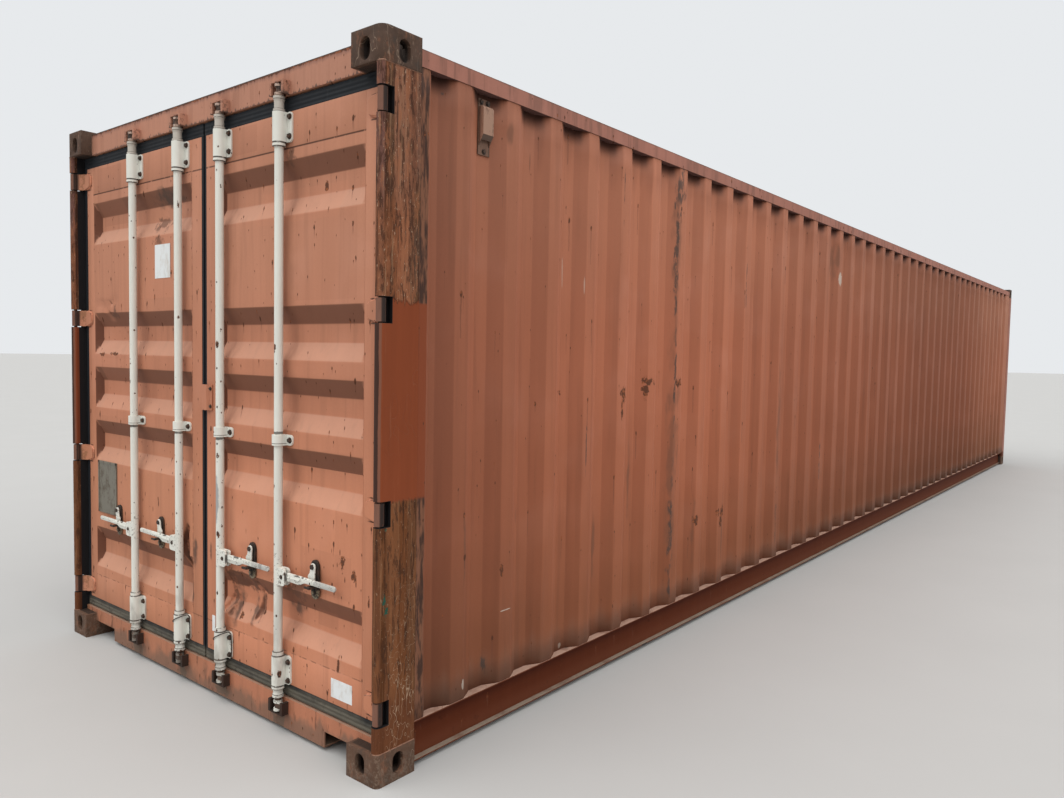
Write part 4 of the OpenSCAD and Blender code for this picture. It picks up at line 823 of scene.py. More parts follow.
def post_finish():
    f = Finish("post_paint_scraped", specular=0.13)
    c, worn, height = post_colours(f)
    green = f.product(f.marks([((1.2, -6.066, 0.655), (0, 0.008, 0.015)), ((1.2, -6.054, 0.618), (0, 0.007, 0.018)),
        ((1.2, -6.058, 0.902), (0, 0.005, 0.004))], 2.6, 120, 0.3), f.ramp(f.x, 0, 0.1))
    c = f.mix(green, c, (0.020, 0.072, 0.048))
    # the post's inward faces beside the leaf are painted near black, for the gasket flap that lies there and as
    # painted shade
    inward = f.product(f.face_x, f.x)
    hidden = f.most(f.ramp(f.math("ABSOLUTE", f.x), 1.172, 1.178, 1.0, 0.0),
        f.product(f.ramp(inward, -0.95, -0.80, 1.0, 0.0), f.ramp(f.y, -6.066, -6.046)))
    # painted shade: the walls of the hinge slots near black
    slots = f.most(*[f.band(f.z, z - SLOT - 0.0005, z + SLOT + 0.0005, 0.0002) for z in HINGES])
    slots = f.product(slots, f.ramp(f.y, HINGE_Y + 0.0345, HINGE_Y + 0.0355, 1.0, 0.0))
    # painted shade inside the hollow post, as far as the slots show it
    hollow = f.product(f.ramp(f.math("ABSOLUTE", f.x), HALF_WIDTH - 0.004, HALF_WIDTH - 0.003, 1.0, 0.0),
        f.ramp(f.y, HINGE_Y + 0.006, HINGE_Y + 0.008), f.ramp(f.y, -5.99, -5.98, 1.0, 0.0))
    slots = f.most(slots, hollow)
    c = f.mix(f.most(hidden, slots), c, (0.013, 0.012, 0.013))
    return f.finish(c, f.sum(0.52, f.product(worn, 0.22)), height, depth=0.0020)


def gear_finish():
    """Cream paint on rods and brackets, chipped to rust, with grime where water stands, and painted shade in the
    grooves, between the cam discs and under the handles.
    """
    paint = settings("container_paint")
    f = Finish("gear_paint_chipped", specular=0.3)
    tone = f.noise(7, 4, (1, 1, 0.3), 1.0, 0.6)
    streak = f.noise(1.0, 4, (60, 60, 2.2), 2.0, 0.65)
    fine = f.noise(140, 3, (1, 1, 1), 3.0)
    dirt = f.ramp(f.noise(52, 5, (1, 1, 0.6), 5.0, 0.7), 0.42, 0.60)
    c = f.shade(f.shade(tuple(paint.gear), 0.10, tone), 0.08, streak)
    c = f.mix(f.product(f.ramp(streak, 0.52, 0.75), 0.35), c, [v * 0.66 for v in paint.gear])
    beside = [f.math("ABSOLUTE", f.math("SUBTRACT", f.x, x)) for x in RODS.values()]
    near = f.ramp(f.math("MINIMUM", f.math("MINIMUM", beside[0], beside[1]), f.math("MINIMUM", beside[2], beside[3])),
        0.030, 0.032, 1.0, 0.0)
    c = f.mix(f.product(f.ramp(f.z, 2.4125, 2.414), f.ramp(f.z, 2.470, 2.474, 1.0, 0.0), 0.50), c, (0.27, 0.19, 0.14))
    c = f.mix(f.product(f.ramp(f.z, 2.468, 2.474), 0.72), c, (0.36, 0.185, 0.12))
    # painted shade: dark lines in the grooves where collars and rings meet
    meet = [f.band(f.z, a, b, 0.0006) for a, b in ((0.1790, 0.1806), (0.1890, 0.1950), (0.3096, 0.3132),
        (0.1560, 0.1580), (0.3270, 0.3290), (2.2930, 2.2990), (2.2815, 2.2835), (2.4110, 2.4132), (2.4215, 2.4232),
        (2.4575, 2.4592), (1.1480, 1.1500))]
    c = f.mix(f.product(f.most(*meet), near, f.ramp(f.noise(60, 3, (1, 1, 1), 15.0), 0.34, 0.44), 0.85), c,
        (0.055, 0.038, 0.030))
    # cams: cream discs, with rust and painted shade in the hollow between them
    between = f.most(f.band(f.z, 2.4845, 2.5045, 0.001), f.band(f.z, 0.1015, 0.1210, 0.001),
        f.band(f.z, 0.133, 0.1455, 0.001))
    rim = f.ramp(f.noise(90, 4, (1, 1, 1), 12.0, 0.7), 0.50, 0.62)
    left = f.product(f.ramp(f.x, -0.05, 0.05, 1.0, 0.0), f.ramp(f.z, 0.140, 0.146, 1.0, 0.0), 0.75)
    edge = f.most(between, left, f.product(f.most(f.ramp(f.z, 2.465, 2.475), f.ramp(f.z, 0.150, 0.160, 1.0, 0.0)),
        rim, 0.75))
    c = f.mix(edge, c, f.mix(dirt, (0.100, 0.055, 0.036), (0.030, 0.018, 0.014)))
    low = f.product(f.ramp(f.z, 0.12, 0.75, 1.0, 0.0), f.ramp(f.noise(16, 5, (1, 1, 0.35), 6.0), 0.44, 0.66), 0.50)
    c = f.mix(low, c, [v * 0.42 for v in paint.dust])
    chips = f.most(f.spots(34, 0.34, 0.22, (1, 1, 0.55), 4.0, 1.4), f.spots(80, 0.30, 0.20, (1, 1, 0.7), 8.0, 1.0))
    c = f.mix(chips, c, f.mix(f.ramp(fine, 0.4, 0.6), (0.035, 0.022, 0.018), (0.15, 0.065, 0.035)))
    grey = f.marks([((0.170, -6.079, 0.87), (0.012, 0.014, 0.16))], 0.7, 30, 0.5)
    c = f.mix(f.product(grey, 0.75), c, (0.23, 0.235, 0.25))
    black = f.marks([((0.170, 0, 1.135), (0.06, 0, 0.007)), ((0.590, 0, 1.190), (0.06, 0, 0.006)),
        ((-0.170, 0, 1.133), (0.06, 0, 0.006)), ((-0.590, 0, 1.133), (0.06, 0, 0.006))], 0.8, 60, 0.5)
    c = f.mix(f.product(black, 0.8), c, paint.grime_and_shade)
    # bare, polished grips
    grip = f.product(f.band(f.z, 0.60, 0.66, 0.004), f.marks([((x + side_of(x) * 0.300, 0, 0.64),
        (0.075, 0, 0.05)) for x in RODS.values()], 0.4, 40, 0.3))
    c = f.mix(f.product(grip, f.ramp(f.x, 0.0, 0.1, 0.15, 0.75)), c, (0.42, 0.41, 0.385))
    hubs = f.product(f.band(f.z, 0.59, 0.72, 0.003), f.ramp(f.noise(95, 4, (1, 1, 1), 22.0, 0.7), 0.56, 0.64), 0.65)
    c = f.mix(hubs, c, (0.085, 0.058, 0.042))
    # painted shade on the undersides of the handles and catches
    c = f.mix(f.product(f.band(f.z, 0.60, 0.72, 0.003), f.ramp(f.face_z, -0.7, -0.4, 1.0, 0.0), 0.8), c,
        (0.060, 0.042, 0.034))
    notch = f.marks([((x + side_of(x) * a, -6.066, z), (b, 0, h)) for x in RODS.values() for a, z, b,
        h in ((0.128, 0.650, 0.022, 0.0045), (0.165, 0.650, 0.010, 0.004), (0.150, 0.619, 0.016, 0.0045),
        (0.062, 0.632, 0.0035, 0.022))], 0.9, 70, 0.5)
    c = f.mix(f.product(notch, 0.85), c, (0.045, 0.032, 0.026))
    height = f.sum(f.product(chips, -0.8), f.product(fine, 0.12), f.product(tone, 0.2), f.product(edge, dirt, 0.8))
    return f.finish(c, f.sum(0.50, f.product(chips, 0.3), f.product(tone, 0.1)), height, f.product(grip, 0.15),
        0.0010)


def retainer_finish():
    """Handle retainers: near black, with the paint left on the rim and bolt below."""
    f = Finish("retainer_steel", 0.6, 0.1, 0.3)
    c = f.mix(f.ramp(f.noise(70, 5, (1, 1, 0.6), 1.0, 0.7), 0.46, 0.68), (0.030, 0.024, 0.020), (0.085, 0.045, 0.028))
    off = [f.math("ABSOLUTE", f.math("SUBTRACT", f.x, x + side_of(x) * BOLT)) for x in RODS.values()]
    off = f.math("MINIMUM", f.math("MINIMUM", off[0], off[1]), f.math("MINIMUM", off[2], off[3]))
    up = f.math("SUBTRACT", f.z, 0.599)
    away = f.math("SQRT", f.sum(f.product(off, off), f.product(up, up)))
    rim = f.product(f.ramp(away, 0.0125, 0.0145), f.ramp(f.z, 0.604, 0.612, 1.0, 0.0),
        f.ramp(f.noise(90, 4, (1, 1, 1), 3.0, 0.7), 0.40, 0.52))
    c = f.mix(f.product(f.most(rim, f.ramp(away, 0.0055, 0.0070, 1.0, 0.0)), 0.75), c, (0.27, 0.225, 0.150))
    return f.finish(c, None, f.noise(150, 3), depth=0.0004)


def casting_finish():
    paint = settings("container_paint")
    f = Finish("cast_steel_rusty", specular=0.25)
    tone = f.noise(9, 5, (1, 1, 1), 1.0, 0.65)
    pit = f.noise(70, 5, (1, 1, 1), 2.0, 0.7)
    base = tuple(paint.casting)
    c = f.mix(f.ramp(tone, 0.35, 0.65), base, [v * 0.7 for v in base])
    c = f.mix(f.ramp(f.z, 2.0, 2.1), c, (0.74, 0.78, 0.82), "MULTIPLY")
    c = f.mix(f.product(f.ramp(f.noise(1.0, 5, (30, 30, 14), 3.0, 0.75), 0.54, 0.66), 0.55), c, (0.205, 0.085, 0.045))
    c = f.mix(f.product(f.ramp(f.noise(20, 5, (1, 1, 1), 7.0, 0.7), 0.56, 0.68), 0.6), c, (0.045, 0.036, 0.030))
    c = f.mix(f.product(f.ramp(f.z, 0.02, 0.14, 1.0, 0.0), f.ramp(pit, 0.45, 0.6), 0.45), c,
        [v * 0.50 for v in paint.dust])
    # worn, paler arrises: places near two outer faces at once
    out_x, out_y = f.math("SUBTRACT", HALF_WIDTH, f.math("ABSOLUTE", f.x)), f.math("SUBTRACT", HALF_LENGTH,
        f.math("ABSOLUTE", f.y))
    arris = f.ramp(f.sum(out_x, out_y, f.product(f.math("SUBTRACT", pit, 0.5), 0.02)), 0.006, 0.020, 1.0, 0.0)
    lines = f.most(f.scratches((22, 22, 9), 0.010, 0.52, 4.0), f.product(arris, f.ramp(pit, 0.46, 0.60)))
    c = f.mix(f.product(f.ramp(f.noise(1.0, 5, (70, 70, 26), 13.0, 0.75), 0.58, 0.66), 0.5), c, (0.225, 0.150, 0.105))
    c = f.mix(f.product(lines, 0.65), c, (0.32, 0.23, 0.165))
    # painted shade: the inside of the hollow casting, away from its outer faces, near black
    deep = f.product(f.ramp(out_x, 0.012, 0.020), f.ramp(out_y, 0.012, 0.020),
        f.ramp(f.math("ABSOLUTE", f.x), 1.064, 1.070))
    c = f.mix(f.product(deep, 0.8), c, (0.018, 0.012, 0.009))
    height = f.sum(pit, f.product(tone, 0.6), f.product(lines, -0.3))
    return f.finish(c, f.sum(0.64, f.product(pit, 0.2)), height, depth=0.0018)


def rubber_finish():
    paint = settings("container_paint")
    f = Finish("gasket_rubber_dusty", specular=0.2)
    c = f.shade(tuple(paint.rubber), 0.3, f.noise(20, 4, (1, 1, 1), 1.0))
    low = f.ramp(f.sum(f.z, f.product(f.noise(9, 5, (1, 1, 1), 2.0), 0.06)), 0.195, 0.235, 1.0, 0.0)
    c = f.mix(f.product(low, f.ramp(f.noise(1.0, 5, (5, 5, 30), 3.0), 0.28, 0.60, 0.45, 0.95)), c,
        (0.125, 0.112, 0.086))
    c = f.mix(f.product(low, f.ramp(f.noise(18, 5, (1, 1, 1), 23.0, 0.7), 0.54, 0.64), 0.6), c, (0.050, 0.042, 0.034))
    c = f.mix(f.product(f.ramp(f.noise(30, 5, (1, 1, 0.4), 4.0), 0.60, 0.70), f.ramp(f.z, 2.41, 2.42), 0.35), c,
        (0.05, 0.055, 0.06))
    level = f.most(f.product(f.ramp(f.z, 2.414, 2.4141), f.z), f.product(f.ramp(f.z, 0.196, 0.1961, 1.0, 0.0), f.z))
    ribs = f.math("SINE", f.product(level, 380.0))
    return f.finish(c, 0.7, f.sum(f.product(ribs, 0.4), f.product(f.noise(60, 3), 0.2)), depth=0.002)


def wood_finish():
    paint = settings("container_paint")
    f = Finish("plywood_worn", specular=0.3)
    grain = f.noise(1.0, 5, (90, 3.5, 40), 1.0, 0.6)
    c = f.shade(f.shade(tuple(paint.wood), 0.25, grain), 0.18, f.noise(2.2, 4, (1, 1, 1), 2.0))
    c = f.mix(f.scratches((20, 2, 20), 0.02, 0.46, 5.0), c, [v * 0.45 for v in paint.wood])
    return f.finish(c, 0.62, grain, depth=0.0010)


def vent_finish():
    """Vents: dark plate with a paler hood."""
    f = Finish("vent_paint_worn", specular=0.25)
    hood = f.ramp(f.math("ABSOLUTE", f.x), 1.186, 1.196)
    c = f.mix(hood, (0.165, 0.092, 0.062), (0.335, 0.195, 0.135))
    # painted shade on what faces down
    c = f.mix(f.ramp(f.face_z, -0.5, -0.2, 0.8, 0.0), c, (0.05, 0.034, 0.026))
    c = f.mix(f.product(f.ramp(f.noise(50, 5, (1, 1, 0.4), 2.0, 0.7), 0.50, 0.66), 0.6), c, (0.085, 0.045, 0.03))
    rim = f.math("ABSOLUTE", f.math("SUBTRACT", f.math("ABSOLUTE", f.y), 5.560))
    c = f.mix(f.product(f.ramp(rim, 0.026, 0.032), f.ramp(f.math("ABSOLUTE", f.x), 1.184, 1.187, 1.0, 0.0), 0.7), c,
        (0.04, 0.022, 0.016))
    return f.finish(c, 0.55, f.noise(90, 4), depth=0.0006)


def plain_finish(name, base, dirt, rough=0.5, metal=0.0, scale=40):
    """A small part's finish: one colour with dirt in it."""
    f = Finish(name, rough, metal, 0.3)
    c = f.mix(f.ramp(f.noise(scale, 5, (1, 1, 0.6), 1.0, 0.7), 0.46, 0.68), base, dirt)
    return f.finish(c, None, f.noise(scale * 3, 3), depth=0.0004)


MATERIALS = {}


class CONTAINER_OT_finishes(bpy.types.Operator):
    """Make the finishes and give them to the CAD nodes"""

    bl_idname = "container.finishes"
    bl_label = "Finishes"

    def execute(self, context):
        paint = settings("container_paint")
        MATERIALS.update(
            door=door_finish(),
            side=side_finish(),
            rail=rail_finish("rail_paint_worn", 0.22),
            base=rail_finish("base_paint_worn", 0.07),
            post=post_finish(),
            gear=gear_finish(),
            casting=casting_finish(),
            rubber=rubber_finish(),
            wood=wood_finish(),
            vent=vent_finish(),
            fastener=plain_finish("rusty_fasteners", (0.035, 0.026, 0.021), (0.13, 0.062, 0.036), 0.6, 0.0, 160),
            sticker=plain_finish("blank_sticker", (0.74, 0.76, 0.76), (0.60, 0.57, 0.53), 0.45, 0.0, 14),
            plate=plain_finish("bare_plate", (0.20, 0.185, 0.15), (0.11, 0.085, 0.06), 0.5, 0.35),
            wire=plain_finish("old_wire", (0.020, 0.018, 0.016), (0.06, 0.04, 0.03), 0.6),
            # the hinge weld beads are door paint made paler: a painted highlight along the beads
            weld=plain_finish("weld_paint", [v * 1.22 for v in paint.door], (0.22, 0.105, 0.065), 0.6, 0.0, 45),
            retainer=retainer_finish(),
            post_weld=plain_finish("post_weld", (0.24, 0.12, 0.075), (0.085, 0.045, 0.03), 0.6, 0.0, 60),
        )
        groups = {
            "rail": "front_posts top_side_rails front_top_rail front_sill front_wall roof_panel roof_end_plates",
            "base": "bottom_side_rails cross_members gooseneck_tunnel",
            "vent": "wall_vents",
            "post": "rear_post_right rear_post_left",
            "door": "door_header door_sill hinge_blades_right hinge_blades_left lock_plate cam_keepers",
            "gear": "rod_brackets_right rod_brackets_left lock_rod_1 lock_rod_2 lock_rod_3 lock_rod_4",
            "casting": "hinge_pins",
            "retainer": "handle_retainers_right handle_retainers_left",
            "rubber": "door_gasket_right door_gasket_left",
            "wood": "floor_boards",
        }
        for key, names in groups.items():
            for name in names.split():
                slots = NODES[name].data.materials
                slots.clear()
                slots.append(MATERIALS[key])
        return {"FINISHED"}


# Pressed sheets


def corrugation(name, start, count):
    """A geometry tree that presses a flat grid in Y and Z into the side corrugations."""
    sheets = settings("container_sheets")
    t = Shape(name, **{"Wall Face": WALL_HIGH.x, "First Recess": start, "Pitch": sheets.pitch, "Depth": sheets.depth,
        "Inner Flat": sheets.inner_flat,
                       "Slope": sheets.slope, "Bend": 0.10, "Last Recess": start + count * sheets.pitch,
                       "Waviness": sheets.wave, "Low Edge": WALL_LOW.z, "High Edge": WALL_HIGH.z})
    v = t.input
    place = t.node("GeometryNodeInputPosition").outputs[0]
    x, y, z = t.node("ShaderNodeSeparateXYZ", place).outputs
    # distance from the middle of the nearest recess, as a share of its slope
    half_recess = t.sum(t.product(v["Inner Flat"], 0.5), v["Slope"])
    within = t.math("FLOORED_MODULO", t.math("SUBTRACT", y, v["First Recess"]), v["Pitch"])
    off = t.math("ABSOLUTE", t.math("SUBTRACT", within, half_recess))
    regular = t.math("DIVIDE", t.math("SUBTRACT", half_recess, off), v["Slope"])
    inside = t.product(t.math("GREATER_THAN", y, v["First Recess"]), t.math("LESS_THAN", y, v["Last Recess"]))
    regular = t.sum(t.product(regular, inside), t.product(t.math("SUBTRACT", 1.0, inside), -1.0))
    # the narrow first recess beside the post
    steep = t.math("DIVIDE", t.math("SUBTRACT", y, -5.872), 0.037)
    gentle = t.math("DIVIDE", t.math("SUBTRACT", -5.733, y), v["Slope"])
    press = t.math("MAXIMUM", regular, t.math("MINIMUM", steep, gentle))
    press = t.math("SMOOTH_MAX", t.math("SMOOTH_MIN", press, 1.0, v["Bend"]), 0.0, v["Bend"])
    # waves and shallow dents between the welded edges
    wave = t.node("ShaderNodeTexNoise", t.node("ShaderNodeVectorMath", place, (1.0, 1.6, 2.2),
        operation="MULTIPLY").outputs[0], None, 1.0, 3.0).outputs[0]
    dent = t.node("ShaderNodeTexNoise", t.node("ShaderNodeVectorMath", place, (1.0, 5.0, 3.4),
        operation="MULTIPLY").outputs[0], None, 1.0, 2.0).outputs[0]
    free = t.product(t.ramp(z, t.sum(v["Low Edge"], 0.01), t.sum(v["Low Edge"], 0.25)),
        t.ramp(z, t.math("SUBTRACT", v["High Edge"], 0.25), t.math("SUBTRACT", v["High Edge"], 0.01), 1.0, 0.0))
    sunk = t.sum(t.product(wave, v["Waviness"], 1.6), t.product(t.ramp(dent, 0.60, 0.76), v["Waviness"], 2.2))
    depth = t.sum(t.product(press, v["Depth"]), t.product(sunk, free))
    moved = t.node("ShaderNodeCombineXYZ", t.math("SUBTRACT", v["Wall Face"], depth), y, z).outputs[0]
    placed = t.node("GeometryNodeSetPosition", t.source)
    t.feed(placed.inputs["Position"], moved)
    return t.end(placed.outputs[0], MATERIALS["side"])


def wall_grid(name, low, high, step, rows):
    """A flat grid in Y and Z whose columns follow the corrugation pitch."""
    columns = [low + i * step for i in range(int((high - low) / step) + 1)]
    if columns[-1] < high - 1e-6:
        columns.append(high)
    levels = [WALL_LOW.z + (WALL_HIGH.z - WALL_LOW.z) * i / rows for i in range(rows + 1)]
    places = [(0, y, z) for y in columns for z in levels]
    n = rows + 1
    faces = [(i * n + j, (i + 1) * n + j, (i + 1) * n + j + 1,
        i * n + j + 1) for i in range(len(columns) - 1) for j in range(rows)]
    mesh = bpy.data.meshes.new(name)
    mesh.from_pydata(places, [], faces)
    return mesh


class CONTAINER_OT_side_sheets(bpy.types.Operator):
    """Press the two corrugated side sheets"""

    bl_idname = "container.side_sheets"
    bl_label = "Side sheets"

    def execute(self, context):
        sheets = settings("container_sheets")
        start, count = -5.661, 41
        tree = corrugation("corrugated_side", start, count)
        for word, sign in (("right", 1), ("left", -1)):
            mesh = wall_grid("side_grid", WALL_LOW.y, WALL_HIGH.y, sheets.pitch / sheets.columns, 22)
            made = tree.make(f"side_sheet_{word}", mesh)
            body = bmesh.new()
            body.from_mesh(made.data)
            if sign < 0:
                for v in body.verts:
                    v.co.x = -v.co.x
                bmesh.ops.reverse_faces(body, faces=body.faces)
            # nothing stands inside the top fitting at the front end
            middles = [(f, f.calc_center_median()) for f in body.faces]
            doomed = [f for f, m in middles if m.y > HALF_LENGTH - 0.178 and m.z > TOP_FITTING + 0.02]
            bmesh.ops.delete(body, geom=doomed, context="FACES")
            body.to_mesh(made.data)
            body.free()
            thick = made.modifiers.new("thickness", "SOLIDIFY")
            thick.thickness = sheets.sheet
            thick.offset = -1
            settle(made)
            made.data.polygons.foreach_set("use_smooth", [True] * len(made.data.polygons))
            piece(made.name, made, MATERIALS["side"], "container", "frame_paint", f"side_wall_{word}")
        return {"FINISHED"}


def soft_clamp(t, soft=0.05):
    """0 to 1 with rounded corners."""
    def smooth_min(a, b):
        h = np.clip(0.5 + 0.5 * (b - a) / soft, 0, 1)
        return b * (1 - h) + a * h - soft * h * (1 - h)
    return -smooth_min(-smooth_min(t, 1.0), 0.0)


DENTS = {
    # place on the leaf, half sizes and depth
    1: [(0.30, 0.50, 0.075, 0.11, 0.014), (0.215, 0.40, 0.05, 0.13, 0.010), (0.36, 0.40, 0.05, 0.09, -0.008),
        (0.62, 0.42, 0.13, 0.10, 0.007), (0.80, 0.62, 0.12, 0.10, 0.006), (0.33, 0.66, 0.10, 0.06, 0.006)],
    -1: [(0.50, 0.44, 0.10, 0.10, 0.006), (0.93, 1.66, 0.06, 0.04, 0.005), (0.165, 0.61, 0.045, 0.10, 0.014),
        (0.85, 0.50, 0.09, 0.09, 0.006), (0.87, 1.49, 0.06, 0.02, 0.007)],
}
CREASES = {
    # folds in the sheet: places along it, half width and depth
    1: [(((0.150, 0.580), (0.193, 0.458), (0.134, 0.380)), 0.016, 0.014),
        (((0.377, 0.549), (0.404, 0.500), (0.384, 0.399)), 0.014, 0.012),
        (((0.170, 0.60), (0.213, 0.470), (0.160, 0.370)), 0.014, -0.008)],
    -1: [(((0.150, 0.700), (0.185, 0.620), (0.150, 0.530)), 0.014, 0.014),
        (((1.03, 1.722), (0.93, 1.716), (0.83, 1.735)), 0.012, 0.009),
        (((0.96, 1.700), (0.88, 1.660)), 0.012, 0.008)],
}


def beside_line(x, z, line):
    """Distance of a place from a polyline."""
    nearest = 1.0
    for (ax, az), (bx, bz) in zip(line, line[1:]):
        along = ((x - ax) * (bx - ax) + (z - az) * (bz - az)) / ((bx - ax) ** 2 + (bz - az) ** 2)
        along = min(max(along, 0.0), 1.0)
        nearest = min(nearest, math.hypot(x - ax - along * (bx - ax), z - az - along * (bz - az)))
    return nearest


def leaf_mesh(sign):
    """A door leaf: bevelled stiles, channel rails and the pressed, slightly buckled sheet."""
    depth = settings("container_sheets").recess_depth
    sheet_in, sheet_out, low, high = SHEET_IN, LEAF_HIGH.x - 0.070, SHEET_LOW, SHEET_HIGH
    back = LEAF_HIGH.y
    mesh = bmesh.new()
    add_box(mesh, (LEAF_LOW.x, DOOR_Y, LEAF_LOW.z), (sheet_in, back, LEAF_HIGH.z), 0.0015)
    add_box(mesh, (sheet_out, DOOR_Y, LEAF_LOW.z), (LEAF_HIGH.x, back, LEAF_HIGH.z), 0.0015)
    for z0, z1 in ((LEAF_LOW.z, low), (high, LEAF_HIGH.z)):
        add_box(mesh, (sheet_in, DOOR_Y, z0), (sheet_out, DOOR_Y + 0.003, z1), 0.0014)
        add_box(mesh, (sheet_in, DOOR_Y + 0.003, z0), (sheet_out, back, z0 + 0.003), 0.001)
        add_box(mesh, (sheet_in, DOOR_Y + 0.003, z1 - 0.003), (sheet_out, back, z1), 0.001)
    x_bends = [sheet_in + 0.002, sheet_in + 0.022, sheet_out - 0.022, sheet_out - 0.002]
    z_bends = [z + s * h for z in RECESSES for h in (0.104, 0.035) for s in (-1, 1)]
    xs = {sheet_in, sheet_out} | {b + d for b in x_bends for d in (-0.0015, 0.0, 0.0015)} | set(np.arange(0.15, 1.0,
        0.020)) | set(np.arange(0.12, 0.46, 0.0075))
    zs = {low, high} | {b + d for b in z_bends for d in (-0.0035, 0.0, 0.0035)} | set(np.arange(low, high,
        0.020)) | set(np.arange(0.34, 0.72, 0.0095))
    xs = sorted(x for x in xs if sheet_in <= x <= sheet_out)
    zs = sorted(z for z in zs if low <= z <= high)
    front = []
    for x in xs:
        row = []
        for z in zs:
            end = min(x - sheet_in - 0.002, sheet_out - 0.002 - x) / 0.020
            press = max(min(end, (0.104 - abs(z - r)) / 0.069) for r in RECESSES)
            y = depth * float(soft_clamp(np.float64(press)))
            free = min(1.0, min(x - sheet_in, sheet_out - x) / 0.05, min(z - low, high - z) / 0.05)
            free = max(free, 0) ** 1.2
            y += free * 0.0022 * (noise.noise(Vector((x * 3.1 + sign * 7, 0.3, z * 4.2))) + 0.3)
            for cx, cz, rx, rz, d in DENTS[sign]:
                q = ((x - cx) / rx) ** 2 + ((z - cz) / rz) ** 2
                if q < 1:
                    y += free * d * (1 - q) ** 2 * (1 + 0.5 * noise.noise(Vector((x * 30, 1.7, z * 30))))
            for line, wide, d in CREASES[sign]:
                y += min(free * 3, 1.0) * d * math.exp(-(beside_line(x, z, line) / wide) ** 2)
            row.append(mesh.verts.new((x, DOOR_Y + min(max(y, 0.0), back - DOOR_Y - 0.004), z)))
        front.append(row)
    rear = [[mesh.verts.new(v.co + Vector((0, 0.002, 0))) for v in row] for row in front]
    def quads(grid):
        return [mesh.faces.new((a[j], b[j], b[j + 1], a[j + 1])) for a,
            b in zip(grid, grid[1:]) for j in range(len(a) - 1)]
    quads(front)
    for f in quads(rear):
        f.normal_flip()
    rim = [row[0] for row in front] + front[-1][1:] + [row[-1] for row in reversed(front[:-1])] + list(reversed(front[0][1:-1]))
    rim_rear = [row[0] for row in rear] + rear[-1][1:] + [row[-1] for row in reversed(rear[:-1])] + list(reversed(rear[0][1:-1]))
    for i in range(len(rim)):
        j = (i + 1) % len(rim)
        mesh.faces.new((rim[j], rim[i], rim_rear[i], rim_rear[j]))
    if sign < 0:
        for v in mesh.verts:
            v.co.x = -v.co.x
        bmesh.ops.reverse_faces(mesh, faces=mesh.faces)
    return from_bmesh("leaf", mesh)


class CONTAINER_OT_door_leaves(bpy.types.Operator):
    """Build the two door leaves with their pressed sheets"""

    bl_idname = "container.door_leaves"
    bl_label = "Door leaves"

    def execute(self, context):
        for word, sign in (("right", 1), ("left", -1)):
            data = leaf_mesh(sign)
            data.polygons.foreach_set("use_smooth", [True] * len(data.polygons))
            data.set_sharp_from_angle(angle=math.radians(40))
            piece(f"pressed_leaf_{word}", data, MATERIALS["door"], f"door_{word}", "door_paint", f"door_leaf_{word}")
        return {"FINISHED"}


# Castings


def solid(name, data):
    made = bpy.data.objects.new(name, data)
    bpy.context.scene.collection.objects.link(made)
    return made


def cutter(outline, axis, low, high):
    """A slot cutter along an axis from an outline in the other two."""
    mesh = bmesh.new()
    order = {"X": lambda a, b, c: (c, a, b), "Y": lambda a, b, c: (a, c, b), "Z": lambda a, b, c: (a, b, c)}[axis]
    rings = [[mesh.verts.new(order(a, b, c)) for a, b in outline] for c in (low, high)]
    mesh.faces.new(rings[0])
    mesh.faces.new(rings[1])
    for i in range(len(outline)):
        j = (i + 1) % len(outline)
        mesh.faces.new((rings[0][i], rings[0][j], rings[1][j], rings[1][i]))
    bmesh.ops.recalc_face_normals(mesh, faces=mesh.faces)
    return from_bmesh("cutter", mesh)


def stadium(cx, cy, width, height, steps=10):
    """An upright slot outline with round ends."""
    r = width / 2
    return arc(cx, cy + height / 2 - r, r, 0, 180, steps) + arc(cx, cy - height / 2 + r, r, 180, 360, steps)


def casting(top):
    """One hollow corner casting at the right-hand front, with slots and rounded edges."""
    x0, x1 = HALF_WIDTH - 0.162, HALF_WIDTH
    y0, y1 = HALF_LENGTH - 0.178, HALF_LENGTH
    z0, z1 = (TOP_FITTING, HEIGHT) if top else (0.0, FITTING_TOP)
    wall, edge = 0.028, 0.032 if top else 0.021
    outline = [(x0, y0), (x1, y0)] + arc(x1 - edge, y1 - edge, edge, 0, 90, 5) + [(x0, y1)]
    body = solid("casting", cutter(outline, "Z", z0, z1))
    mid = (z0 + z1) / 2 + (-0.008 if top else 0.004)
    slot_z = (z1 - wall - 0.002, z1 + 0.01) if top else (z0 - 0.01, z0 + wall + 0.002)
    inner = [(x0 + wall, y0 + wall), (x1 - wall, y0 + wall), (x1 - wall, y1 - wall), (x0 + wall, y1 - wall)]
    holes = [
        cutter(inner, "Z", z0 + wall, z1 - wall),
        cutter(stadium((x0 + x1) / 2, (y0 + y1) / 2, 0.0635, 0.124), "Z", *slot_z),
        cutter(stadium((y0 + y1) / 2 - 0.010, mid, 0.051, 0.079), "X", x1 - wall - 0.002, x1 + 0.01),
        cutter(stadium((x0 + x1) / 2 - 0.008, mid, 0.051, 0.079), "Y", y1 - wall - 0.002, y1 + 0.01),
    ]
    cutters = []
    for i, data in enumerate(holes):
        made = solid(f"hole_{i}", data)
        cutters.append(made)
        cut = body.modifiers.new(f"cut_{i}", "BOOLEAN")
        cut.operation = "DIFFERENCE"
        cut.object = made
        cut.solver = "EXACT"
    rounding = body.modifiers.new("rounding", "BEVEL")
    rounding.width = settings("container_gear").casting_edge
    rounding.segments = 2
    rounding.limit_method = "ANGLE"
    rounding.angle_limit = math.radians(35)
    settle(body)
    data = body.data
    for made in cutters + [body]:
        bpy.data.objects.remove(made)
    return data


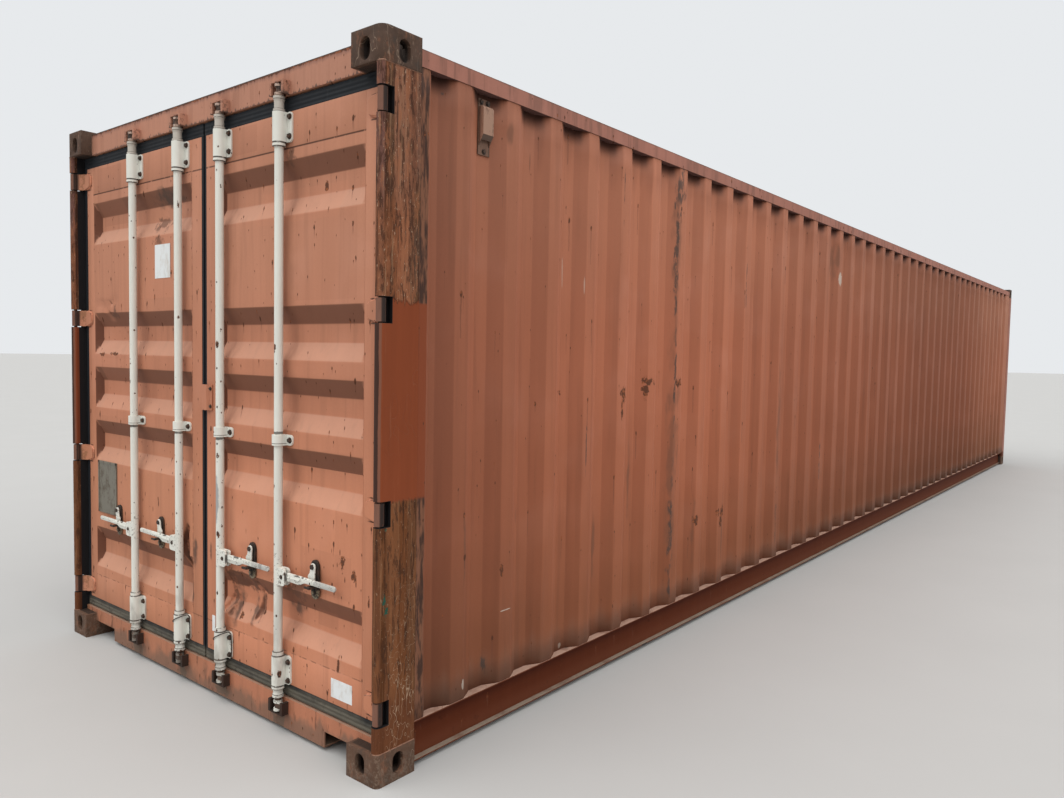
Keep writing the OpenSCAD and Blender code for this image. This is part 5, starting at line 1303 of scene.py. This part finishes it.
class CONTAINER_OT_castings(bpy.types.Operator):
    """Cast the eight corner fittings"""

    bl_idname = "container.castings"
    bl_label = "Corner castings"

    def execute(self, context):
        for word, top in (("bottom", False), ("top", True)):
            one = casting(top)
            mesh = bmesh.new()
            for sx in (1, -1):
                for sy in (1, -1):
                    part = bmesh.new()
                    part.from_mesh(one)
                    for v in part.verts:
                        v.co = Vector((v.co.x * sx, v.co.y * sy, v.co.z))
                    if sx * sy < 0:
                        bmesh.ops.reverse_faces(part, faces=part.faces)
                    again = from_bmesh("part", part)
                    mesh.from_mesh(again)
            data = from_bmesh(f"{word}_castings", mesh)
            data.polygons.foreach_set("use_smooth", [True] * len(data.polygons))
            data.set_sharp_from_angle(angle=math.radians(35))
            piece(f"{word}_castings", data, MATERIALS["casting"], "container", "cast_steel",
                f"{word}_corner_fittings")
        return {"FINISHED"}


# Fasteners and welds


def bolt_tree(name, size, height, material, turn=(math.pi / 2, 0.0, 0.0), sides=6):
    """Heads with washers on points; every head is turned by chance about its axis."""
    t = Shape(name, **{"Size": size, "Height": height, "Seed": 3})
    v = t.input
    head = t.node("GeometryNodeMeshCylinder", sides)
    t.feed(head.inputs["Radius"], t.product(v["Size"], 0.5))
    t.feed(head.inputs["Depth"], v["Height"])
    washer = t.node("GeometryNodeMeshCylinder", 20)
    t.feed(washer.inputs["Radius"], t.product(v["Size"], 0.68))
    t.feed(washer.inputs["Depth"], t.product(v["Height"], 0.3))
    raised = t.node("GeometryNodeTransform", head.outputs["Mesh"])
    t.feed(raised.inputs["Translation"], t.node("ShaderNodeCombineXYZ", 0.0, 0.0,
        t.product(v["Height"], 0.65)).outputs[0])
    lifted = t.node("GeometryNodeTransform", washer.outputs["Mesh"])
    t.feed(lifted.inputs["Translation"], t.node("ShaderNodeCombineXYZ", 0.0, 0.0,
        t.product(v["Height"], 0.15)).outputs[0])
    both = t.node("GeometryNodeJoinGeometry")
    t.feed(both.inputs[0], lifted.outputs[0])
    t.feed(both.inputs[0], raised.outputs[0])
    chance = t.node("FunctionNodeRandomValue", data_type="FLOAT")
    t.feed(chance.inputs["Seed"], v["Seed"])
    t.feed(chance.inputs[3], 1.0)
    spin = t.node("ShaderNodeCombineXYZ", 0.0, 0.0, t.product(chance.outputs[1], 1.047)).outputs[0]
    local = t.node("FunctionNodeRotateRotation", t.node("FunctionNodeEulerToRotation", turn).outputs[0],
        t.node("FunctionNodeEulerToRotation", spin).outputs[0], rotation_space="LOCAL")
    placed = t.node("GeometryNodeInstanceOnPoints", t.source)
    t.feed(placed.inputs["Instance"], both.outputs[0])
    t.feed(placed.inputs["Rotation"], local.outputs[0])
    return t.end(placed.outputs[0], material)


def weld_tree(name, radius, material):
    """A rippled bead along loose edges."""
    t = Shape(name, **{"Radius": radius, "Step": 0.006, "Ripple": 0.25, "Seed": 5})
    v = t.input
    curve = t.node("GeometryNodeMeshToCurve", t.source).outputs[0]
    even = t.node("GeometryNodeResampleCurve", curve)
    even.mode = "LENGTH"
    t.feed(even.inputs["Length"], v["Step"])
    place = t.node("GeometryNodeInputPosition").outputs[0]
    rough = t.node("ShaderNodeTexNoise", place, None, 110.0, 2.0).outputs[0]
    size = t.product(v["Radius"], t.sum(1.0, t.product(t.math("SUBTRACT", rough, 0.5), t.product(v["Ripple"], 4.0))))
    sized = t.node("GeometryNodeSetCurveRadius", even.outputs[0])
    t.feed(sized.inputs["Radius"], size)
    ring = t.node("GeometryNodeCurvePrimitiveCircle")
    t.feed(ring.inputs["Resolution"], 6)
    t.feed(ring.inputs["Radius"], 1.0)
    swept = t.node("GeometryNodeCurveToMesh", sized.outputs[0], ring.outputs[0])
    t.feed(swept.inputs["Fill Caps"], True)
    if "Scale" in swept.inputs:
        t.feed(swept.inputs["Scale"], size)
    return t.end(swept.outputs[0], material)


class CONTAINER_OT_fasteners(bpy.types.Operator):
    """Set bolts, rivets and nuts"""

    bl_idname = "container.fasteners"
    bl_label = "Bolts and rivets"

    def execute(self, context):
        gear = settings("container_gear")
        bolts = bolt_tree("bolt_heads", gear.bolt, gear.bolt_height, MATERIALS["fastener"])
        rivets = bolt_tree("rivet_heads", gear.rivet, gear.rivet * 0.45, MATERIALS["fastener"], sides=12)
        pins = bolt_tree("pin_heads", 0.013, 0.003, MATERIALS["fastener"], sides=16)
        face = DOOR_Y - 0.007
        for word, sign in (("right", 1), ("left", -1)):
            places, small = [], []
            for x in (abs(v) for v in RODS.values() if side_of(v) == sign):
                for z in BRACKET_BOLTS:
                    places += [(sign * x + d, face, z) for d in (-0.040, 0.040)]
                places += [(sign * x + d, face, GUIDE) for d in (-0.046, 0.046)]
                small += [(sign * x - 0.033, face, z) for z in (0.2015, 0.273)]
            if sign > 0:
                small += [(0.060, DOOR_Y - 0.006, z) for z in (1.262, 1.338)]
            made = bolts.make(f"bracket_bolts_{word}", points_mesh("bolt_points", places), smooth=False)
            piece(made.name, made, None, f"door_{word}", "cast_steel")
            for n, x in RODS.items():
                if side_of(x) == sign:
                    made = pins.make(f"hub_pin_{n}", points_mesh("pin_points", [(x + sign * PIN, -6.0765, 0.632)]),
                        smooth=False)
                    piece(made.name, made, None, f"rod_{n}", "cast_steel")
            made = rivets.make(f"retainer_rivets_{word}", points_mesh("rivet_points", small), smooth=False)
            piece(made.name, made, None, f"door_{word}", "cast_steel")
        side_turn = (0.0, math.pi / 2, 0.0)
        vents = bolt_tree("vent_screws", gear.rivet * 1.3, gear.rivet * 0.45, MATERIALS["fastener"], side_turn)
        y, low, high = -5.558, 2.269, 2.479
        made = vents.make("vent_screws_right", points_mesh("screw_points",
            [(1.182, y + dy, z) for dy, z in ((-0.018, high - 0.012), (0.018, high - 0.012), (0.0, low + 0.014))]),
            smooth=False)
        piece(made.name, made, None, "container", "cast_steel")
        return {"FINISHED"}


class CONTAINER_OT_welds(bpy.types.Operator):
    """Lay the weld beads"""

    bl_idname = "container.welds"
    bl_label = "Welds"

    def execute(self, context):
        gear = settings("container_gear")
        beads = weld_tree("weld_bead", gear.weld, MATERIALS["weld"])
        straps = weld_tree("strap_weld", gear.weld * 1.4, MATERIALS["weld"])
        x, y = HALF_WIDTH - 0.0045, HALF_LENGTH - 0.022
        lines = []
        for sx in (1, -1):
            for z in (FITTING_TOP, TOP_FITTING):
                lines.append([(sx * x, -HALF_LENGTH + 0.178, z), (sx * x, -y, z)] + [(sx * a, b, z) for a,
                    b in arc(HINGE_X, HINGE_Y, 0.0185, -10, -170, 8)])
                lines.append([(sx * x, HALF_LENGTH - 0.143, z), (sx * x, HALF_LENGTH - 0.005, z),
                    (sx * 1.06, HALF_LENGTH - 0.005, z)])
            lines.append([(sx * 1.056, HEADER_Y, 0.118), (sx * 1.056, HEADER_Y, 0.082)])
            lines.append([(sx * 1.057, HEADER_Y, TOP_FITTING + 0.01), (sx * 1.057, HEADER_Y, 2.57)])
        made = beads.make("frame_welds", lines_mesh("weld_lines", lines))
        piece(made.name, made, MATERIALS["post_weld"], "container", "frame_paint")
        for word, sign in (("right", 1), ("left", -1)):
            lines = []
            for z in HINGES:
                lines.append([(sign * a, DOOR_Y - 0.002, z + b) for a,
                    b in ((1.128, -0.0375), (1.100, -0.0300), (1.0875, -0.0225), (1.0870, 0.0), (1.0875, 0.0225),
                    (1.100, 0.0300), (1.128, 0.0375))])
            made = straps.make(f"hinge_welds_{word}", lines_mesh("weld_lines", lines))
            piece(made.name, made, MATERIALS["weld"], f"door_{word}", "door_paint")
        return {"FINISHED"}


# Lock gear


def handle_mesh(x):
    """A forged handle: deep beside the hub, creased and stepped, with a slim grip that ends round."""
    s = side_of(x)
    z, top = 0.632, 0.652
    outline = [(PIN, z - 0.012), (PIN + 0.016, 0.6185), (0.146, 0.6175), (0.158, 0.624), (0.176, 0.6305),
        (0.349, 0.6315)]
    outline += arc(0.3495, 0.6415, 0.0105, -80, 80, 6) + [(0.190, top), (0.150, 0.6525), (0.070, top),
        (PIN + 0.012, 0.6475)] + arc(PIN, z, 0.012, 90, 250, 8)
    mesh = bmesh.new()
    add_plate(mesh, [(x + s * a, b) for a, b in outline], -6.0675, -6.0585, 0.0028)
    # a rib along the deep part
    add_box(mesh, (min(x + s * 0.066, x + s * 0.146), -6.0695, 0.6315),
        (max(x + s * 0.066, x + s * 0.146), -6.0665, 0.6385), 0.0014)
    return from_bmesh("handle", mesh)


def catch_mesh(x):
    """A catch that hangs from its bolt and curls towards the hub."""
    s = side_of(x)
    cx, cz = BOLT, 0.697
    outline = arc(cx, cz, 0.014, 0, 180, 8) + [(cx - 0.0155, 0.684), (cx - 0.018, 0.672), (cx - 0.026, 0.664),
        (cx - 0.030, 0.656), (cx - 0.027, 0.649), (cx - 0.016, 0.645)]
    outline += arc(cx, 0.653, 0.012, 225, 350, 6) + [(cx + 0.012, 0.672), (cx + 0.0135, 0.688)]
    mesh = bmesh.new()
    add_plate(mesh, [(x + s * a, b) for a, b in outline], -6.0535, -6.0475, 0.0018)
    return from_bmesh("catch", mesh)


class CONTAINER_OT_lock_gear(bpy.types.Operator):
    """Forge handles and catches and turn the flared necks of the rods"""

    bl_idname = "container.lock_gear"
    bl_label = "Lock gear"

    def execute(self, context):
        for n, x in RODS.items():
            for word, data in (("handle", handle_mesh(x)), ("catch", catch_mesh(x))):
                data.polygons.foreach_set("use_smooth", [True] * len(data.polygons))
                data.set_sharp_from_angle(angle=math.radians(40))
                replaced = f"door_handle_{n}" if word == "handle" else f"handle_catch_{n}"
                piece(f"forged_{word}_{n}", data, MATERIALS["gear"], f"{word}_{n}", "gear_paint", replaced)
            mesh = bmesh.new()
            # the necks flare out to their collars
            add_turned(mesh, [(0.0160, 0.1655), (0.0187, 0.1655), (0.0198, 0.1590), (0.0219, 0.1555),
                (0.0219, 0.1550), (0.0160, 0.1550)], x, ROD_Y)
            add_turned(mesh, [(0.0160, 2.4480), (0.0187, 2.4480), (0.0198, 2.4545), (0.0219, 2.4585),
                (0.0219, 2.4595), (0.0160, 2.4595)], x, ROD_Y)
            data = from_bmesh("collars", mesh)
            data.polygons.foreach_set("use_smooth", [True] * len(data.polygons))
            data.set_sharp_from_angle(angle=math.radians(45))
            piece(f"rod_collars_{n}", data, MATERIALS["gear"], f"rod_{n}", "gear_paint")
        return {"FINISHED"}


class CONTAINER_OT_small_parts(bpy.types.Operator):
    """Blank stickers, bare plate and wires on the doors"""

    bl_idname = "container.small_parts"
    bl_label = "Small parts"

    def execute(self, context):
        gear = settings("container_gear")
        y = DOOR_Y
        for name, corners, material, body in (
            ("blank_sticker_left", (-0.431, -0.292, 1.829, 1.983), "sticker", "door_left"),
            ("blank_sticker_right", (0.889, 1.011, 0.220, 0.292), "sticker", "door_right"),
            ("blank_tag_centre", (0.060, 0.084, 0.280, 0.350), "sticker", "door_right"),
        ):
            x0, x1, z0, z1 = corners
            mesh = bmesh.new()
            add_plate(mesh, [(x0, z0), (x1, z0), (x1, z1), (x0, z1)], y - 0.0006, y + 0.0004)
            piece(name, from_bmesh(name, mesh), MATERIALS[material], body, "door_paint")
        mesh = bmesh.new()
        x0, x1, z0, z1 = -1.030, -0.830, 0.660, 0.925
        add_box(mesh, (x0, y - 0.004, z0), (x1, y + 0.001, z1), 0.0012)
        for a, b, c, d in ((x0, x0 + 0.012, z0, z1), (x1 - 0.012, x1, z0, z1), (x0, x1, z0, z0 + 0.012),
                (x0, x1, z1 - 0.012, z1)):
            add_box(mesh, (a, y - 0.0065, c), (b, y - 0.003, d), 0.001)
        piece("bare_plate", from_bmesh("bare_plate", mesh), MATERIALS["plate"], "door_left", "cast_steel")
        # wires looped round the lower brackets of the inner rods
        wires = weld_tree("wire", gear.wire / 2, MATERIALS["wire"])
        for word, x in (("left", -0.170), ("right", 0.170)):
            lines = [[(x + a, b, c) for a, b, c in ((-0.0285, -6.060, 0.250), (-0.026, -6.071, 0.264),
                (-0.014, -6.0880, 0.281), (0.006, -6.0915, 0.293), (0.022, -6.082, 0.302), (0.030, -6.064, 0.308),
                      (0.040, -6.0465, 0.311), (0.053, -6.0445, 0.305), (0.0555, -6.0445, 0.25), (0.0550, -6.0445,
                          0.200), (0.044, -6.0445, 0.190))],
                     [(x + a, b, c) for a, b, c in ((-0.0285, -6.060, 0.250), (-0.0290, -6.058, 0.215),
                         (-0.0290, -6.060, 0.190), (-0.031, -6.063, 0.165), (-0.035, -6.066, 0.150))]]
            made = wires.make(f"tie_wire_{word}", lines_mesh("wire_lines", lines))
            piece(made.name, made, MATERIALS["wire"], door_of(x), "cast_steel")
        return {"FINISHED"}


# Stage


class CONTAINER_OT_stage(bpy.types.Operator):
    """Floor, lights and camera"""

    bl_idname = "container.stage"
    bl_label = "Stage"

    def execute(self, context):
        stage = settings("container_stage")
        scene = context.scene
        data = bpy.data.meshes.new("floor")
        half = 140.0
        data.from_pydata([(-half, -half, 0), (half, -half, 0), (half, half, 0), (-half, half, 0)], [], [(0, 1, 2, 3)])
        floor = solid("floor", data)
        f = Finish("pale_floor", 0.8, 0.0, 0.2)
        data.materials.append(f.finish(f.shade(tuple(stage.floor), 0.03, f.noise(1.5, 3))))

        world = bpy.data.worlds.new("even_sky")
        scene.world = world
        world.use_nodes = True
        tree = world.node_tree
        tree.nodes.clear()
        out = tree.nodes.new("ShaderNodeOutputWorld")
        light, seen = tree.nodes.new("ShaderNodeBackground"), tree.nodes.new("ShaderNodeBackground")
        aim, split, fade = (tree.nodes.new(kind) for kind in ("ShaderNodeTexCoord", "ShaderNodeSeparateXYZ",
            "ShaderNodeMapRange"))
        for socket, value in zip(fade.inputs[1:5], (-0.15, 1.0, stage.sky * 0.28, stage.sky)):
            socket.default_value = value
        tree.links.new(aim.outputs["Generated"], split.inputs[0])
        tree.links.new(split.outputs["Z"], fade.inputs[0])
        tree.links.new(fade.outputs[0], light.inputs["Strength"])
        light.inputs["Color"].default_value = (0.94, 0.97, 1.0, 1)
        seen.inputs["Color"].default_value = (0.80, 0.82, 0.84, 1)
        path, mix = tree.nodes.new("ShaderNodeLightPath"), tree.nodes.new("ShaderNodeMixShader")
        tree.links.new(path.outputs["Is Camera Ray"], mix.inputs[0])
        tree.links.new(light.outputs[0], mix.inputs[1])
        tree.links.new(seen.outputs[0], mix.inputs[2])
        tree.links.new(mix.outputs[0], out.inputs[0])

        for name, place, strength in (("key", (-0.30, -0.75, 1.25), stage.key),
                ("fill", (0.95, -0.15, 1.15), stage.fill)):
            lamp = bpy.data.lights.new(name, "SUN")
            lamp.energy = strength
            lamp.angle = math.radians(65)
            lamp.color = (1.0, 0.985, 0.96)
            made = bpy.data.objects.new(name, lamp)
            scene.collection.objects.link(made)
            made.rotation_euler = Vector(place).to_track_quat("Z", "Y").to_euler()

        turn, tilt, roll = stage.camera_turn
        forward = Vector((-math.sin(turn) * math.cos(tilt), math.cos(turn) * math.cos(tilt), -math.sin(tilt)))
        right = forward.cross(Vector((0, 0, 1))).normalized()
        up = right.cross(forward)
        right, up = right * math.cos(roll) + up * math.sin(roll), up * math.cos(roll) - right * math.sin(roll)
        lens = bpy.data.cameras.new("camera")
        lens.lens = stage.lens
        lens.sensor_width = 36
        lens.clip_end = 400
        camera = bpy.data.objects.new("camera", lens)
        scene.collection.objects.link(camera)
        camera.matrix_world = Matrix.Translation(stage.camera_place) @ Matrix((right, up,
            -forward)).transposed().to_4x4()
        scene.camera = camera
        scene.view_settings.view_transform = "Standard"
        return {"FINISHED"}


OPERATORS = (
    CONTAINER_OT_finishes,
    CONTAINER_OT_side_sheets,
    CONTAINER_OT_door_leaves,
    CONTAINER_OT_castings,
    CONTAINER_OT_fasteners,
    CONTAINER_OT_welds,
    CONTAINER_OT_lock_gear,
    CONTAINER_OT_small_parts,
    CONTAINER_OT_stage,
)


class CONTAINER_PT_panel(bpy.types.Panel):
    """Lists the steps that dress the container"""

    bl_idname = "CONTAINER_PT_panel"
    bl_label = "Shipping Container"
    bl_space_type = "VIEW_3D"
    bl_region_type = "UI"
    bl_category = "Container"

    def draw(self, context):
        for group in GROUPS:
            box = self.layout.box()
            values = getattr(context.scene, group)
            for key in values.bl_rna.properties.keys():
                if key not in {"rna_type", "name"}:
                    box.prop(values, key)
        for step in OPERATORS:
            self.layout.operator(step.bl_idname)


GROUPS = {
    "container_paint": ContainerPaint,
    "container_sheets": ContainerSheets,
    "container_gear": ContainerGear,
    "container_stage": ContainerStage,
}


def register():
    for group, kind in GROUPS.items():
        bpy.utils.register_class(kind)
        setattr(bpy.types.Scene, group, PointerProperty(type=kind))
    for kind in OPERATORS + (CONTAINER_PT_panel,):
        bpy.utils.register_class(kind)


def unregister():
    for kind in (CONTAINER_PT_panel,) + OPERATORS[::-1]:
        bpy.utils.unregister_class(kind)
    for group, kind in GROUPS.items():
        delattr(bpy.types.Scene, group)
        bpy.utils.unregister_class(kind)


def main():
    register()
    for step in OPERATORS:
        area, name = step.bl_idname.split(".")
        getattr(getattr(bpy.ops, area), name)()


if __name__ == "__main__":
    main()
